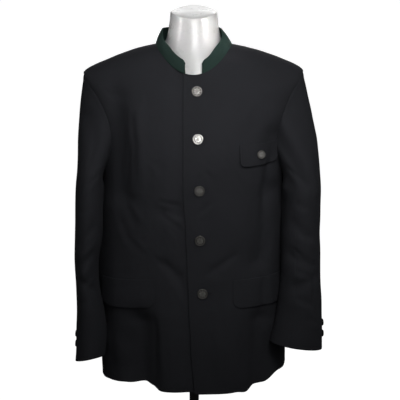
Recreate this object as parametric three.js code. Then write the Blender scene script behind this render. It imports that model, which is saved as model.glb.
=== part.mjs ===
import * as THREE from "three";

// A stand-collar blazer on a limbless dress form with a round stand.
// Millimetres, +Z up. The blazer faces -Y and the wearer's left is +X.
// The origin is the centre of the base's underside.

// Cloth
const clothWall = 2;
const collarWall = 2.6;
const seamInset = 0.2;
const sleeveStart = 0.55;
const flapLift = 0.9;
const sleeveClearance = 2.6;
const flapClearance = 3.5;
const cuffLift = 0.35;

// Front closing: the wearer's left front lies over the right
const underLap = 46;
const underDrop = 3.4;
const collarEndX = 19;
const collarHeight = 38;
const collarCorner = 9;
const collarBulge = 1.5;
const collarLift = 0.4;
const neckRadius = 78;

// Buttons
const frontButton = { radius: 11.5, height: 3.6, segments: 20 };
const chestFlapButton = { radius: 9, height: 3, segments: 16 };
const cuffButton = { radius: 8, height: 3, segments: 16 };
const frontButtonLift = 0.68;
const chestButtonLift = 0.6;

// Stand
const poleRadius = 11;
const baseRadius = 150;
const baseHeight = 8;
const baseEdge = 2;
const socketFloor = 6;
const hubHeight = 18;
const hubFoot = 11;
const hubTop = 8;
const touchGap = 0.3;
const formBottom = 335;

// How finely the cloth is divided
const shoulderRows = 4;
const armholeRows = 10;
const skirtRows = 11;
const frontColumns = 12;
const backColumns = 18;
const sleeveHeadRows = 5;
const sleeveRows = 12;
const formAround = 28;
const formRows = 26;

// A sleeve's folds are laid out round a tube of this radius
const sleeveRadius = 55;

// Near the sides, the body's folds die out from this share of the front's own direction
const foldReach = 0.35;

// Below and above a hip flap, between these heights, a sleeve stands further out
const flapZone = { low: 372, high: 462 };

// The blazer's outer surface is a stack of rings, from the neck to the hem. Each row gives
// the half width out to the wearer's right and left and the chest's own half width, the side's
// y and its z on both sides, the front's and the back's y and z, and the ring's power: 2 is an
// ellipse, more is squarer.
const bodyRings = [
  { right: 84, left: 84, chest: 84, sideY: 4, rightZ: 953, leftZ: 953,
    frontY: -95, frontZ: 897, backY: 72, backZ: 949, power: 2 },
  { right: 126, left: 126, chest: 121, sideY: 3, rightZ: 944, leftZ: 944,
    frontY: -109, frontZ: 866, backY: 94, backZ: 924, power: 2.03 },
  { right: 188, left: 188, chest: 163, sideY: 2, rightZ: 921, leftZ: 924,
    frontY: -123, frontZ: 829, backY: 113, backZ: 887, power: 2.06 },
  { right: 244, left: 242, chest: 193, sideY: 0, rightZ: 892, leftZ: 896,
    frontY: -135, frontZ: 788, backY: 126, backZ: 840, power: 2.1 },
  { right: 239, left: 239, chest: 206, sideY: 0, rightZ: 852, leftZ: 856,
    frontY: -143, frontZ: 750, backY: 133, backZ: 793, power: 2.15 },
  { right: 219, left: 217, chest: 208, sideY: 0, rightZ: 790, leftZ: 790,
    frontY: -147, frontZ: 713, backY: 136, backZ: 744, power: 2.2 },
  { right: 208, left: 206, chest: 205, sideY: 0, rightZ: 722, leftZ: 722,
    frontY: -148, frontZ: 680, backY: 135, backZ: 695, power: 2.2 },
  { right: 204, left: 202, chest: 203, sideY: 0, rightZ: 660, leftZ: 660,
    frontY: -147, frontZ: 642, backY: 130, backZ: 648, power: 2.2 },
  { right: 207, left: 202, chest: 204, sideY: 0, rightZ: 590, leftZ: 590,
    frontY: -143, frontZ: 578, backY: 122, backZ: 582, power: 2.2 },
  { right: 213, left: 204, chest: 208, sideY: 0, rightZ: 520, leftZ: 520,
    frontY: -140, frontZ: 512, backY: 116, backZ: 514, power: 2.2 },
  { right: 218, left: 205, chest: 211, sideY: 0, rightZ: 448, leftZ: 450,
    frontY: -140, frontZ: 444, backY: 118, backZ: 444, power: 2.25 },
  { right: 216, left: 208, chest: 212, sideY: 0, rightZ: 370, leftZ: 375,
    frontY: -144, frontZ: 367, backY: 126, backZ: 367, power: 2.25 },
  { right: 214, left: 210, chest: 212, sideY: 0, rightZ: 283, leftZ: 298,
    frontY: -148, frontZ: 283, backY: 133, backZ: 286, power: 2.25 },
  { right: 213, left: 211, chest: 212, sideY: 0, rightZ: 195, leftZ: 222,
    frontY: -150, frontZ: 195, backY: 138, backZ: 203, power: 2.25 },
];
const shoulderRing = 3;
const armpitRing = 7;
const hemRing = bodyRings.length - 1;

// The dress form uses the same columns, from the neck's cap to the flat bottom.
const formRings = [
  { right: 51, left: 51, chest: 51, sideY: 0, rightZ: 1025, leftZ: 1025,
    frontY: -57, frontZ: 1014, backY: 57, backZ: 1035, power: 2 },
  { right: 53, left: 53, chest: 53, sideY: -1, rightZ: 1004, leftZ: 1004,
    frontY: -60, frontZ: 988, backY: 57, backZ: 1012, power: 2 },
  { right: 57, left: 57, chest: 57, sideY: -1, rightZ: 980, leftZ: 980,
    frontY: -67, frontZ: 950, backY: 57, backZ: 984, power: 2 },
  { right: 66, left: 66, chest: 66, sideY: 0, rightZ: 957, leftZ: 957,
    frontY: -82, frontZ: 905, backY: 62, backZ: 954, power: 2 },
  { right: 96, left: 96, chest: 94, sideY: 1, rightZ: 946, leftZ: 946,
    frontY: -96, frontZ: 874, backY: 81, backZ: 925, power: 2 },
  { right: 150, left: 150, chest: 136, sideY: 1, rightZ: 927, leftZ: 930,
    frontY: -110, frontZ: 838, backY: 100, backZ: 893, power: 2 },
  { right: 190, left: 190, chest: 160, sideY: 0, rightZ: 910, leftZ: 912,
    frontY: -120, frontZ: 806, backY: 112, backZ: 858, power: 2 },
  { right: 206, left: 206, chest: 172, sideY: 0, rightZ: 884, leftZ: 886,
    frontY: -125, frontZ: 778, backY: 116, backZ: 822, power: 2 },
  { right: 200, left: 200, chest: 176, sideY: 0, rightZ: 842, leftZ: 842,
    frontY: -126, frontZ: 748, backY: 117, backZ: 784, power: 2 },
  { right: 180, left: 180, chest: 171, sideY: 0, rightZ: 780, leftZ: 780,
    frontY: -126, frontZ: 712, backY: 114, backZ: 736, power: 2 },
  { right: 166, left: 166, chest: 166, sideY: 0, rightZ: 700, leftZ: 700,
    frontY: -122, frontZ: 676, backY: 108, backZ: 684, power: 2 },
  { right: 156, left: 156, chest: 156, sideY: 0, rightZ: 615, leftZ: 615,
    frontY: -114, frontZ: 605, backY: 98, backZ: 608, power: 2 },
  { right: 150, left: 150, chest: 150, sideY: 0, rightZ: 535, leftZ: 535,
    frontY: -107, frontZ: 532, backY: 90, backZ: 532, power: 2 },
  { right: 162, left: 162, chest: 162, sideY: 0, rightZ: 445, leftZ: 445,
    frontY: -108, frontZ: 445, backY: 98, backZ: 445, power: 2 },
  { right: 164, left: 164, chest: 164, sideY: 0, rightZ: 375, leftZ: 375,
    frontY: -108, frontZ: 375, backY: 100, backZ: 375, power: 2 },
  { right: 150, left: 150, chest: 150, sideY: 0, rightZ: formBottom, leftZ: formBottom,
    frontY: -97, frontZ: formBottom, backY: 90, backZ: formBottom, power: 2 },
];

// The over front's free edge: x at each height
const closingEdge = [
  { z: 960, x: -22 },
  { z: 640, x: -22 },
  { z: 565, x: -17 },
  { z: 480, x: -14 },
  { z: 400, x: -11 },
  { z: 300, x: -6 },
  { z: 195, x: 1 },
];

// How much the hem is drawn up at each x of the front, which dies out upwards
const hemLifts = [
  { x: -214, lift: 0 },
  { x: -190, lift: 5 },
  { x: -150, lift: 10 },
  { x: -116, lift: 15 },
  { x: -96, lift: 9 },
  { x: -74, lift: 0 },
  { x: -8, lift: 0 },
  { x: 10, lift: -4.5 },
  { x: 92, lift: -6.5 },
  { x: 121, lift: -14 },
  { x: 141, lift: -5 },
  { x: 160, lift: -5.5 },
  { x: 186, lift: 9 },
  { x: 214, lift: 0 },
];
const hemLiftReach = 120;

// How far from the closing a fold of the front has its full depth
const closingFade = 16;

// Folds of the front as seen from the front: from (x, z) to (x, z), half width and depth.
// A negative depth is a trough.
const frontFolds = [
  { x0: -172, z0: 850, x1: -163, z1: 640, width: 28, depth: -13 },
  { x0: -124, z0: 815, x1: -124, z1: 650, width: 20, depth: 4 },
  { x0: 178, z0: 760, x1: 172, z1: 640, width: 26, depth: -8 },
  { x0: 170, z0: 640, x1: 146, z1: 490, width: 24, depth: -9 },
  { x0: 150, z0: 835, x1: 118, z1: 780, width: 24, depth: -3 },
  { x0: -66, z0: 603, x1: -34, z1: 606, width: 18, depth: -4 },
  { x0: -64, z0: 484, x1: -36, z1: 456, width: 18, depth: -4 },
  { x0: 84, z0: 500, x1: 50, z1: 474, width: 18, depth: -3 },
  { x0: -118, z0: 345, x1: -112, z1: 190, width: 30, depth: -20 },
  { x0: -62, z0: 360, x1: -58, z1: 190, width: 24, depth: 3 },
  { x0: 146, z0: 350, x1: 139, z1: 190, width: 23, depth: -13 },
  { x0: 184, z0: 330, x1: 186, z1: 200, width: 20, depth: 4 },
  { x0: 70, z0: 380, x1: 84, z1: 190, width: 28, depth: 3 },
];

// Folds of the back, as seen from the front too
const backFolds = [
  { x0: -158, z0: 830, x1: -150, z1: 640, width: 24, depth: -10 },
  { x0: 160, z0: 824, x1: 148, z1: 650, width: 24, depth: -9 },
  { x0: -70, z0: 600, x1: -96, z1: 470, width: 24, depth: -6 },
  { x0: 62, z0: 585, x1: 92, z1: 480, width: 22, depth: -5 },
  { x0: -112, z0: 330, x1: -118, z1: 195, width: 28, depth: -12 },
  { x0: 20, z0: 340, x1: 14, z1: 195, width: 30, depth: -9 },
  { x0: 128, z0: 325, x1: 136, z1: 205, width: 26, depth: -11 },
];

// Sleeve rings below the armpit: height, outer and inner x, the centre's y and the half depth
const rightSleeveRings = [
  { z: 640, outer: 262.5, inner: 200, y: -32, depth: 76 },
  { z: 590, outer: 265, inner: 203, y: -38, depth: 73 },
  { z: 530, outer: 267, inner: 205, y: -44, depth: 70 },
  { z: 470, outer: 268, inner: 214, y: -50, depth: 68 },
  { z: 410, outer: 266, inner: 212, y: -51, depth: 66 },
  { z: 365, outer: 265, inner: 203, y: -57, depth: 63 },
  { z: 325, outer: 266, inner: 197, y: -61, depth: 61 },
  { z: 285, outer: 267.5, inner: 198, y: -65, depth: 60 },
  { z: 249, outer: 270, inner: 202, y: -68, depth: 59 },
];
const leftSleeveRings = [
  { z: 640, outer: 283, inner: 197, y: -33, depth: 70 },
  { z: 590, outer: 283, inner: 196, y: -41, depth: 67 },
  { z: 540, outer: 282, inner: 194, y: -50, depth: 62 },
  { z: 490, outer: 283, inner: 194, y: -59, depth: 57 },
  { z: 440, outer: 284, inner: 193, y: -66, depth: 53 },
  { z: 395, outer: 286, inner: 188, y: -76, depth: 48 },
  { z: 355, outer: 287.5, inner: 183, y: -85, depth: 44 },
  { z: 320, outer: 287.5, inner: 176, y: -93, depth: 41 },
  { z: 292, outer: 287.5, inner: 170, y: -99, depth: 39 },
];

// Folds of a sleeve: from and to, each as a turn round it (0 outside, 0.25 front, 0.5 inside,
// 0.75 back) and a height, with half width and depth.
const rightSleeveFolds = [
  { turn0: 0.1, z0: 800, turn1: 0.24, z1: 700, width: 16, depth: -4 },
  { turn0: 0.32, z0: 560, turn1: 0.16, z1: 520, width: 13, depth: -4 },
  { turn0: 0.34, z0: 500, turn1: 0.12, z1: 468, width: 13, depth: -5 },
  { turn0: 0.34, z0: 420, turn1: 0.18, z1: 444, width: 12, depth: -4 },
  { turn0: 0.86, z0: 600, turn1: 0.7, z1: 540, width: 15, depth: -4 },
  { turn0: 0.78, z0: 380, turn1: 0.92, z1: 340, width: 14, depth: -3 },
];
const leftSleeveFolds = [
  { turn0: 0.2, z0: 800, turn1: 0.13, z1: 640, width: 15, depth: 4 },
  { turn0: 0.26, z0: 780, turn1: 0.24, z1: 660, width: 14, depth: -4 },
  { turn0: 0.32, z0: 570, turn1: 0.2, z1: 545, width: 14, depth: -4 },
  { turn0: 0.34, z0: 500, turn1: 0.14, z1: 476, width: 14, depth: -5 },
  { turn0: 0.3, z0: 430, turn1: 0.1, z1: 452, width: 13, depth: -4 },
  { turn0: 0.84, z0: 590, turn1: 0.68, z1: 530, width: 15, depth: -4 },
];

// Front buttons down the closing, and the flaps' corners, as seen from the front
const frontButtons = [
  { x: 7, z: 863 },
  { x: 9, z: 765 },
  { x: 12.5, z: 654 },
  { x: 13.6, z: 542 },
  { x: 19, z: 421.5 },
];
const chestFlap = { x0: 99, x1: 186, top0: 750, top1: 752, drop: 46, corner: 12 };
const rightHipFlap = { x0: -86, x1: -204, top0: 451, top1: 438, drop: 63, corner: 18 };
const leftHipFlap = { x0: 86, x1: 194, top0: 449, top1: 450, drop: 63, corner: 18 };
const chestButton = { x: 145, z: 727 };
const rightCuffButtons = [
  { z: 299, turn: 0.955 },
  { z: 275, turn: 0.955 },
];
const leftCuffButtons = [
  { z: 337, turn: 0.965 },
  { z: 312, turn: 0.965 },
];

const cloth = { color: 0x23262a, roughness: 0.92, metalness: 0 };
const collarCloth = { color: 0x20352f, roughness: 0.9, metalness: 0 };
const oldSilver = { color: 0x8c8c88, roughness: 0.38, metalness: 0.9 };
const formWhite = { color: 0xf1f0ec, roughness: 0.28, metalness: 0 };
const standBlack = { color: 0x161616, roughness: 0.45, metalness: 0 };

const clamp = (value, low, high) => Math.min(high, Math.max(low, value));
const mix = (a, b, f) => a + (b - a) * f;
const smooth = (f) => f * f * (3 - 2 * f);

// A smooth curve through a table's rows: every column at a fractional row number
function tableRow(table, at) {
  const last = table.length - 1;
  const row = Math.min(Math.floor(clamp(at, 0, last)), last - 1);
  const f = clamp(at, 0, last) - row;
  const picked = [-1, 0, 1, 2].map((step) => table[clamp(row + step, 0, last)]);
  const result = {};
  for (const name of Object.keys(table[0])) {
    const [a, b, c, d] = picked.map((entry) => entry[name]);
    const slopeB = (c - a) / 2;
    const slopeC = (d - b) / 2;
    const square = f * f;
    const cube = square * f;
    result[name] =
      (2 * cube - 3 * square + 1) * b +
      (cube - 2 * square + f) * slopeB +
      (3 * square - 2 * cube) * c +
      (cube - square) * slopeC;
  }
  return result;
}

// A ring's half width: the side's own near the side, and the chest's further round
function halfWidth(ring, c) {
  const side = c > 0 ? ring.left : ring.right;
  return mix(ring.chest, side, c ** 4);
}

// The point of a ring at a turn of t: 0 is the wearer's left side, a quarter the front,
// a half the right side and three quarters the back
function ringPoint(table, t, at) {
  const ring = tableRow(table, at);
  const angle = 2 * Math.PI * t;
  const c = Math.cos(angle);
  const s = Math.sin(angle);
  const exponent = 2 / ring.power;
  const half = halfWidth(ring, c);
  const sideZ = c > 0 ? ring.leftZ : ring.rightZ;
  const endY = s > 0 ? ring.frontY : ring.backY;
  const endZ = s > 0 ? ring.frontZ : ring.backZ;
  return new THREE.Vector3(
    Math.sign(c) * half * Math.abs(c) ** exponent,
    ring.sideY + (endY - ring.sideY) * Math.abs(s) ** exponent,
    mix(sideZ, endZ, s * s),
  );
}

// How far a point lies from a stretch between two points, in the plane
function stretchDistance(x, z, x0, z0, x1, z1) {
  const dx = x1 - x0;
  const dz = z1 - z0;
  const f = clamp(((x - x0) * dx + (z - z0) * dz) / (dx * dx + dz * dz), 0, 1);
  return Math.hypot(x - x0 - f * dx, z - z0 - f * dz);
}

// The depth that a table's folds add up to. On the front a fold dies out before the closing.
function foldDepth(folds, x, z) {
  const past = x - readTable(closingEdge, "z", "x", z);
  let depth = 0;
  for (const fold of folds) {
    const away = stretchDistance(x, z, fold.x0, fold.z0, fold.x1, fold.z1) / fold.width;
    const clear = fold.x0 < 0 ? -past - 2 : past - 4;
    const fade = folds === frontFolds ? smooth(clamp(clear / closingFade, 0, 1)) : 1;
    depth += fold.depth * fade * Math.exp(-away * away);
  }
  return depth;
}

function surfaceNormal(point, t, at, atEnd) {
  const step = 0.004;
  const alongT = point(t + step, at).sub(point(t - step, at));
  const up = point(t, Math.max(0, at - 10 * step));
  const down = point(t, Math.min(atEnd, at + 10 * step));
  return up.sub(down).cross(alongT).normalize();
}

// The blazer's outer surface without its folds
function plainBody(t, at) {
  const p = ringPoint(bodyRings, t, at);
  if (Math.sin(2 * Math.PI * t) > 0) {
    const share = smooth(clamp(1 - (p.z - bodyRings[hemRing].frontZ) / hemLiftReach, 0, 1));
    p.z += share * readTable(hemLifts, "x", "lift", p.x);
  }
  return p;
}

const plainNormal = (t, at) => surfaceNormal(plainBody, t, at, hemRing);

// The blazer's outer surface with its folds
function bodyPoint(t, at) {
  const p = plainBody(t, at);
  const front = Math.sin(2 * Math.PI * t) > 0;
  const reach = smooth(clamp(Math.abs(Math.sin(2 * Math.PI * t)) / foldReach, 0, 1));
  const depth = foldDepth(front ? frontFolds : backFolds, p.x, p.z) * reach;
  return p.addScaledVector(plainNormal(t, at), depth);
}

const bodyNormal = (t, at) => surfaceNormal(bodyPoint, t, at, hemRing);

// The turn at which a ring has a wanted x, on its front half
function frontTurn(x, at) {
  const ring = tableRow(bodyRings, at);
  let c = 0;
  for (let step = 0; step < 12; step++)
    c = Math.sign(x) * clamp(Math.abs(x) / halfWidth(ring, c), 0, 1) ** (ring.power / 2);
  return Math.acos(c) / (2 * Math.PI);
}

// The turn and the row of the front's point at a wanted x and z
function frontPlace(x, z) {
  let low = 0;
  let high = hemRing;
  for (let step = 0; step < 40; step++) {
    const middle = (low + high) / 2;
    if (plainBody(frontTurn(x, middle), middle).z > z) low = middle;
    else high = middle;
  }
  return { t: frontTurn(x, low), at: low };
}

// A value read from a table at a place between its rows
function readTable(table, from, name, place) {
  const last = table.length - 1;
  const way = Math.sign(table[last][from] - table[0][from]);
  const next = table.findIndex((entry) => (entry[from] - place) * way >= 0);
  if (next < 0) return table[last][name];
  if (next === 0) return table[0][name];
  const a = table[next - 1];
  const b = table[next];
  return mix(a[name], b[name], smooth((place - a[from]) / (b[from] - a[from])));
}

// Rows down a panel. The armhole's rows stand closer at its top and bottom.
const evenShare = 0.45;
function armholeAt(row) {
  const f = row / armholeRows;
  const closer = (1 - Math.cos(Math.PI * f)) / 2;
  return mix(shoulderRing, armpitRing, mix(closer, f, evenShare));
}
const panelRows = [];
for (let row = 0; row < shoulderRows; row++) panelRows.push((shoulderRing * row) / shoulderRows);
for (let row = 0; row <= armholeRows; row++) panelRows.push(armholeAt(row));
for (let row = 1; row <= skirtRows; row++)
  panelRows.push(mix(armpitRing, hemRing, row / skirtRows));

// How far the armhole cuts into a panel, as a turn from the side
const armholeDepth = { front: 0.084, back: 0.074 };
function armholeTurn(side, at) {
  if (at <= shoulderRing || at >= armpitRing) return 0;
  const f = (at - shoulderRing) / (armpitRing - shoulderRing);
  return armholeDepth[side] * Math.sin(Math.PI * f ** 0.85) ** 0.62;
}

function meanPoint(points) {
  return points.reduce((sum, p) => sum.add(p), new THREE.Vector3()).divideScalar(points.length);
}

function closedGeometry(points, triangles) {
  const positions = points.flatMap((p) => [p.x, p.y, p.z]);
  let volume = 0;
  for (const [a, b, c] of triangles)
    volume += points[a].dot(new THREE.Vector3().crossVectors(points[b], points[c]));
  const outward = volume > 0 ? triangles : triangles.map(([a, b, c]) => [a, c, b]);
  const geometry = new THREE.BufferGeometry();
  geometry.setAttribute("position", new THREE.Float32BufferAttribute(positions, 3));
  geometry.setIndex(outward.flat());
  geometry.computeVertexNormals();
  return geometry;
}

// A cloth wall between a grid of outer points and a grid of inner points
function wallGeometry(outer, inner) {
  const rows = outer.length;
  const columns = outer[0].length;
  const points = [...outer.flat(), ...inner.flat()];
  const triangles = [];
  const id = (layer, row, column) => (layer * rows + row) * columns + column;
  const quad = (a, b, c, d) => triangles.push([a, b, c], [a, c, d]);
  for (let row = 0; row < rows - 1; row++) {
    for (let column = 0; column < columns - 1; column++) {
      const [right, below] = [column + 1, row + 1];
      quad(id(0, row, column), id(0, below, column), id(0, below, right), id(0, row, right));
      quad(id(1, row, column), id(1, row, right), id(1, below, right), id(1, below, column));
    }
    const last = columns - 1;
    quad(id(0, row, 0), id(1, row, 0), id(1, row + 1, 0), id(0, row + 1, 0));
    quad(id(0, row, last), id(0, row + 1, last), id(1, row + 1, last), id(1, row, last));
  }
  for (let column = 0; column < columns - 1; column++) {
    const last = rows - 1;
    quad(id(0, 0, column), id(0, 0, column + 1), id(1, 0, column + 1), id(1, 0, column));
    quad(id(0, last, column), id(1, last, column), id(1, last, column + 1), id(0, last, column + 1));
  }
  return closedGeometry(points, triangles);
}

function offsetGrid(grid, normals, distance) {
  return grid.map((line, row) =>
    line.map((p, column) => p.clone().addScaledVector(normals[row][column], distance)),
  );
}

// Draws the named edges of a grid in by the seam's share of the gap
function drawIn(grid, edges) {
  const rows = grid.length;
  const columns = grid[0].length;
  const moved = grid.map((line) => line.map((p) => p.clone()));
  const pull = (row, column, row2, column2) => {
    const way = grid[row2][column2].clone().sub(grid[row][column]).normalize();
    moved[row][column].addScaledVector(way, seamInset);
  };
  for (let row = 0; row < rows; row++) {
    if (edges.includes("first")) pull(row, 0, row, 1);
    if (edges.includes("last")) pull(row, columns - 1, row, columns - 2);
  }
  return moved;
}

function solidMesh(name, geometry, look) {
  const mesh = new THREE.Mesh(geometry, new THREE.MeshStandardMaterial(look));
  mesh.name = name;
  return mesh;
}

// A panel of the body between two turns that depend on the row
function panelMesh(name, columns, startTurn, endTurn, seams, drop = () => 0) {
  const grid = [];
  const normals = [];
  for (const at of panelRows) {
    const start = startTurn(at);
    const end = endTurn(at);
    const line = [];
    const lineNormals = [];
    for (let column = 0; column <= columns; column++) {
      const t = mix(start, end, column / columns);
      const normal = bodyNormal(t, at);
      line.push(bodyPoint(t, at).addScaledVector(normal, -drop(t, at)));
      lineNormals.push(normal);
    }
    grid.push(line);
    normals.push(lineNormals);
  }
  const outer = drawIn(grid, seams);
  return solidMesh(name, wallGeometry(outer, offsetGrid(outer, normals, -clothWall)), cloth);
}

const edgeX = (at) => readTable(closingEdge, "z", "x", plainBody(0.25, at).z);

// The under front dips behind the closing, from this far before the edge over this length
const underDip = { before: 42, over: 34 };

function leftFront() {
  const start = (at) => armholeTurn("front", at);
  const end = (at) => frontTurn(edgeX(at), at);
  return panelMesh("front_left", frontColumns, start, end, ["first"]);
}

function rightFront() {
  const start = (at) => frontTurn(edgeX(at) + underLap, at);
  const end = (at) => 0.5 - armholeTurn("front", at);
  const drop = (t, at) => {
    const past = plainBody(t, at).x - edgeX(at);
    return underDrop * smooth(clamp((past + underDip.before) / underDip.over, 0, 1));
  };
  return panelMesh("front_right", frontColumns + 1, start, end, ["last"], drop);
}

function back() {
  const start = (at) => 0.5 + armholeTurn("back", at);
  const end = (at) => 1 - armholeTurn("back", at);
  return panelMesh("back", backColumns, start, end, ["first", "last"]);
}

// The stand collar rises from the neck ring and leans in to its top ring
const collarTop = {
  half: 66, sideY: 2, sideZ: 987, frontY: -87, frontZ: 924, backY: 62, backZ: 986, bend: 1.6,
};
// How far its top edge leans out on each side, from the back's middle (-1) to the front's (1)
const collarLean = [
  { s: -1, right: 0, left: 0 },
  { s: 0, right: 4.4, left: -5 },
  { s: 0.5, right: 9, left: 3 },
  { s: 0.72, right: 4.5, left: 0 },
  { s: 1, right: 4, left: 4 },
];
const collarColumns = 40;
const collarRows = [0, 0.3, 0.6, 0.85, 1];
const cornerSteps = [0.006, 0.016];

function collarTopPoint(t) {
  const c = Math.cos(2 * Math.PI * t);
  const s = Math.sin(2 * Math.PI * t);
  const endY = s > 0 ? collarTop.frontY : collarTop.backY;
  const endZ = s > 0 ? collarTop.frontZ : collarTop.backZ;
  const lean = readTable(collarLean, "s", c < 0 ? "right" : "left", s);
  return new THREE.Vector3(
    collarTop.half * c + Math.sign(c) * lean,
    collarTop.sideY + (endY - collarTop.sideY) * Math.abs(s),
    mix(collarTop.sideZ, endZ, Math.abs(s) ** collarTop.bend),
  );
}

function collar() {
  const endTurn = frontTurn(collarEndX, 0);
  const stops = [0, ...cornerSteps];
  for (let step = 1; step < collarColumns; step++) stops.push(step / collarColumns);
  stops.push(...cornerSteps.map((f) => 1 - f).reverse(), 1);
  const length = 2 * Math.PI * neckRadius;
  const outer = collarRows.map(() => []);
  const inner = collarRows.map(() => []);
  for (const stop of stops) {
    const t = mix(endTurn, -0.5 - endTurn, stop);
    const fromEnd = Math.min(stop, 1 - stop) * length;
    const short = Math.max(0, collarCorner - fromEnd);
    const height = 1 - (collarCorner - Math.sqrt(collarCorner ** 2 - short ** 2)) / collarHeight;
    const foot = plainBody(t, 0).add(new THREE.Vector3(0, 0, collarLift));
    const top = collarTopPoint(t);
    const rise = top.clone().sub(foot);
    const along = plainBody(t + 0.004, 0).sub(plainBody(t - 0.004, 0));
    const out = along.cross(rise).normalize();
    if (out.x * foot.x + out.y * foot.y < 0) out.negate();
    collarRows.forEach((row, index) => {
      const bulge = collarBulge * Math.sin(Math.PI * row);
      const p = foot.clone().addScaledVector(rise, row * height).addScaledVector(out, bulge);
      outer[index].push(p);
      inner[index].push(p.clone().addScaledVector(out, -collarWall));
    });
  }
  return solidMesh("collar", wallGeometry(outer, inner), collarCloth);
}

// The x of the body's side at a wanted y and z, on the wearer's left (1) or right (-1)
function bodySideX(side, y, z) {
  let low = 0;
  let high = hemRing;
  let t = 0;
  for (let step = 0; step < 30; step++) {
    const at = (low + high) / 2;
    const ring = tableRow(bodyRings, at);
    const end = y < ring.sideY ? ring.frontY : ring.backY;
    const s = clamp(Math.abs((y - ring.sideY) / (end - ring.sideY)), 0, 1) ** (ring.power / 2);
    const turn = Math.asin(s) / (2 * Math.PI);
    const quarter = side > 0 ? turn : 0.5 - turn;
    t = y < ring.sideY ? quarter : -quarter;
    if (plainBody(t, at).z > z) low = at;
    else high = at;
  }
  return Math.abs(bodyPoint(t, low).x);
}

// How a cuff slants: how much it rises for each millimetre outwards and forwards
const cuffTilts = {
  left: { across: -0.16, forward: 0.02 },
  right: { across: -0.19, forward: 0.24 },
};

function sleeveRing(table, at, side, turn) {
  const ring = tableRow(table, at);
  const angle = 2 * Math.PI * turn;
  const down = at / (table.length - 1);
  const middle = (ring.outer + ring.inner) / 2;
  const across = ((ring.outer - ring.inner) / 2) * Math.cos(angle);
  const forward = ring.depth * Math.sin(angle);
  const tilt = side > 0 ? cuffTilts.left : cuffTilts.right;
  const lift = (tilt.across * across + tilt.forward * forward) * down * down;
  return new THREE.Vector3(side * (middle + across), ring.y - forward, ring.z + lift);
}

// The armhole's points, from the shoulder down its front to the armpit and up its back
function armholeLoop(side) {
  const loop = [];
  for (let index = 0; index < 2 * armholeRows; index++) {
    const onFront = index <= armholeRows;
    const row = onFront ? index : 2 * armholeRows - index;
    const at = armholeAt(row);
    const cut = armholeTurn(onFront ? "front" : "back", at);
    const fromSide = onFront ? cut : -cut;
    const t = side > 0 ? fromSide : 0.5 - fromSide;
    loop.push({ point: bodyPoint(t, at), normal: bodyNormal(t, at), down: row / armholeRows });
  }
  return loop;
}

// The sleeve's head leaves the armhole outwards, bows over the shoulder and bends down
const sleeveHead = { out: 8, leftBow: 11, rightBow: 8, forward: 11, drop: 0.3, bend: 0.36, lift: 0.5 };

// How deep a sleeve's folds are at a place round it and a height
function sleeveFoldDepth(folds, around, z) {
  const girth = 2 * Math.PI * sleeveRadius;
  let depth = 0;
  for (const fold of folds)
    for (const wrap of [-1, 0, 1]) {
      const x0 = girth * (fold.turn0 + wrap);
      const x1 = girth * (fold.turn1 + wrap);
      const away = stretchDistance(around, z, x0, fold.z0, x1, fold.z1) / fold.width;
      depth += fold.depth * Math.exp(-away * away);
    }
  return depth;
}

// The whole sleeve as rings of points from the armhole to the cuff
function sleeveGrid(side, table, folds) {
  const loop = armholeLoop(side);
  const count = loop.length;
  const grid = [];
  for (let row = 0; row <= sleeveHeadRows; row++) grid.push([]);
  for (let index = 0; index < count; index++) {
    const turn = index / count;
    const angle = 2 * Math.PI * turn;
    const start = loop[index].point.clone();
    start.x += side * sleeveStart;
    start.z += sleeveHead.lift * smooth(clamp(loop[index].down * 2 - 1, 0, 1));
    const end = sleeveRing(table, 0, side, turn);
    const next = sleeveRing(table, 0.4, side, turn);
    const fall = start.z - end.z;
    const bow = side > 0 ? sleeveHead.leftBow : sleeveHead.rightBow;
    const out = new THREE.Vector3(
      side * (sleeveHead.out + bow * Math.max(0, Math.cos(angle))),
      -sleeveHead.forward * Math.sin(angle),
      -sleeveHead.drop * fall,
    );
    const first = start.clone().add(out);
    const second = end.clone().sub(next).normalize().multiplyScalar(sleeveHead.bend * fall).add(end);
    const curve = new THREE.CubicBezierCurve3(start, first, second, end);
    for (let row = 0; row <= sleeveHeadRows; row++)
      grid[row].push(curve.getPoint(row / sleeveHeadRows));
  }
  for (let row = 1; row <= sleeveRows; row++) {
    const at = ((table.length - 1) * row) / sleeveRows;
    const line = [];
    for (let index = 0; index < count; index++)
      line.push(sleeveRing(table, at, side, index / count));
    grid.push(line);
  }
  return grid.map((line, row) => {
    const middle = meanPoint(line);
    return line.map((p, index) => {
      if (row === 0) return p;
      const around = (2 * Math.PI * sleeveRadius * index) / count;
      const depth = sleeveFoldDepth(folds, around, p.z);
      const out = new THREE.Vector3(p.x - middle.x, p.y - middle.y, 0).normalize();
      const q = p.clone().addScaledVector(out, depth);
      const byFlap = q.z > flapZone.low && q.z < flapZone.high && q.y < 0;
      const reach = bodySideX(side, q.y, q.z) + sleeveClearance + (byFlap ? flapClearance : 0);
      if (q.z < bodyRings[armpitRing].leftZ + 2 && Math.abs(q.x) < reach) q.x = side * reach;
      return q;
    });
  });
}

function sleeveNormals(grid, loop, side) {
  const count = grid[0].length;
  return grid.map((line, row) =>
    line.map((p, index) => {
      const along = line[(index + 1) % count].clone().sub(line[(index + count - 1) % count]);
      const up = grid[Math.max(0, row - 1)][index].clone();
      const down = grid[Math.min(grid.length - 1, row + 1)][index];
      const normal = up.sub(down).cross(along).multiplyScalar(side).normalize();
      if (row > 0) return normal;
      const share = 1 - smooth(clamp(loop[index].down * 2 - 0.9, 0, 1));
      return normal.lerp(loop[index].normal, share).normalize();
    }),
  );
}

// The two seams of a sleeve: the front one and the hind one, as places in the armhole's loop
const frontSeam = 6;
const hindSeam = 14;

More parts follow.
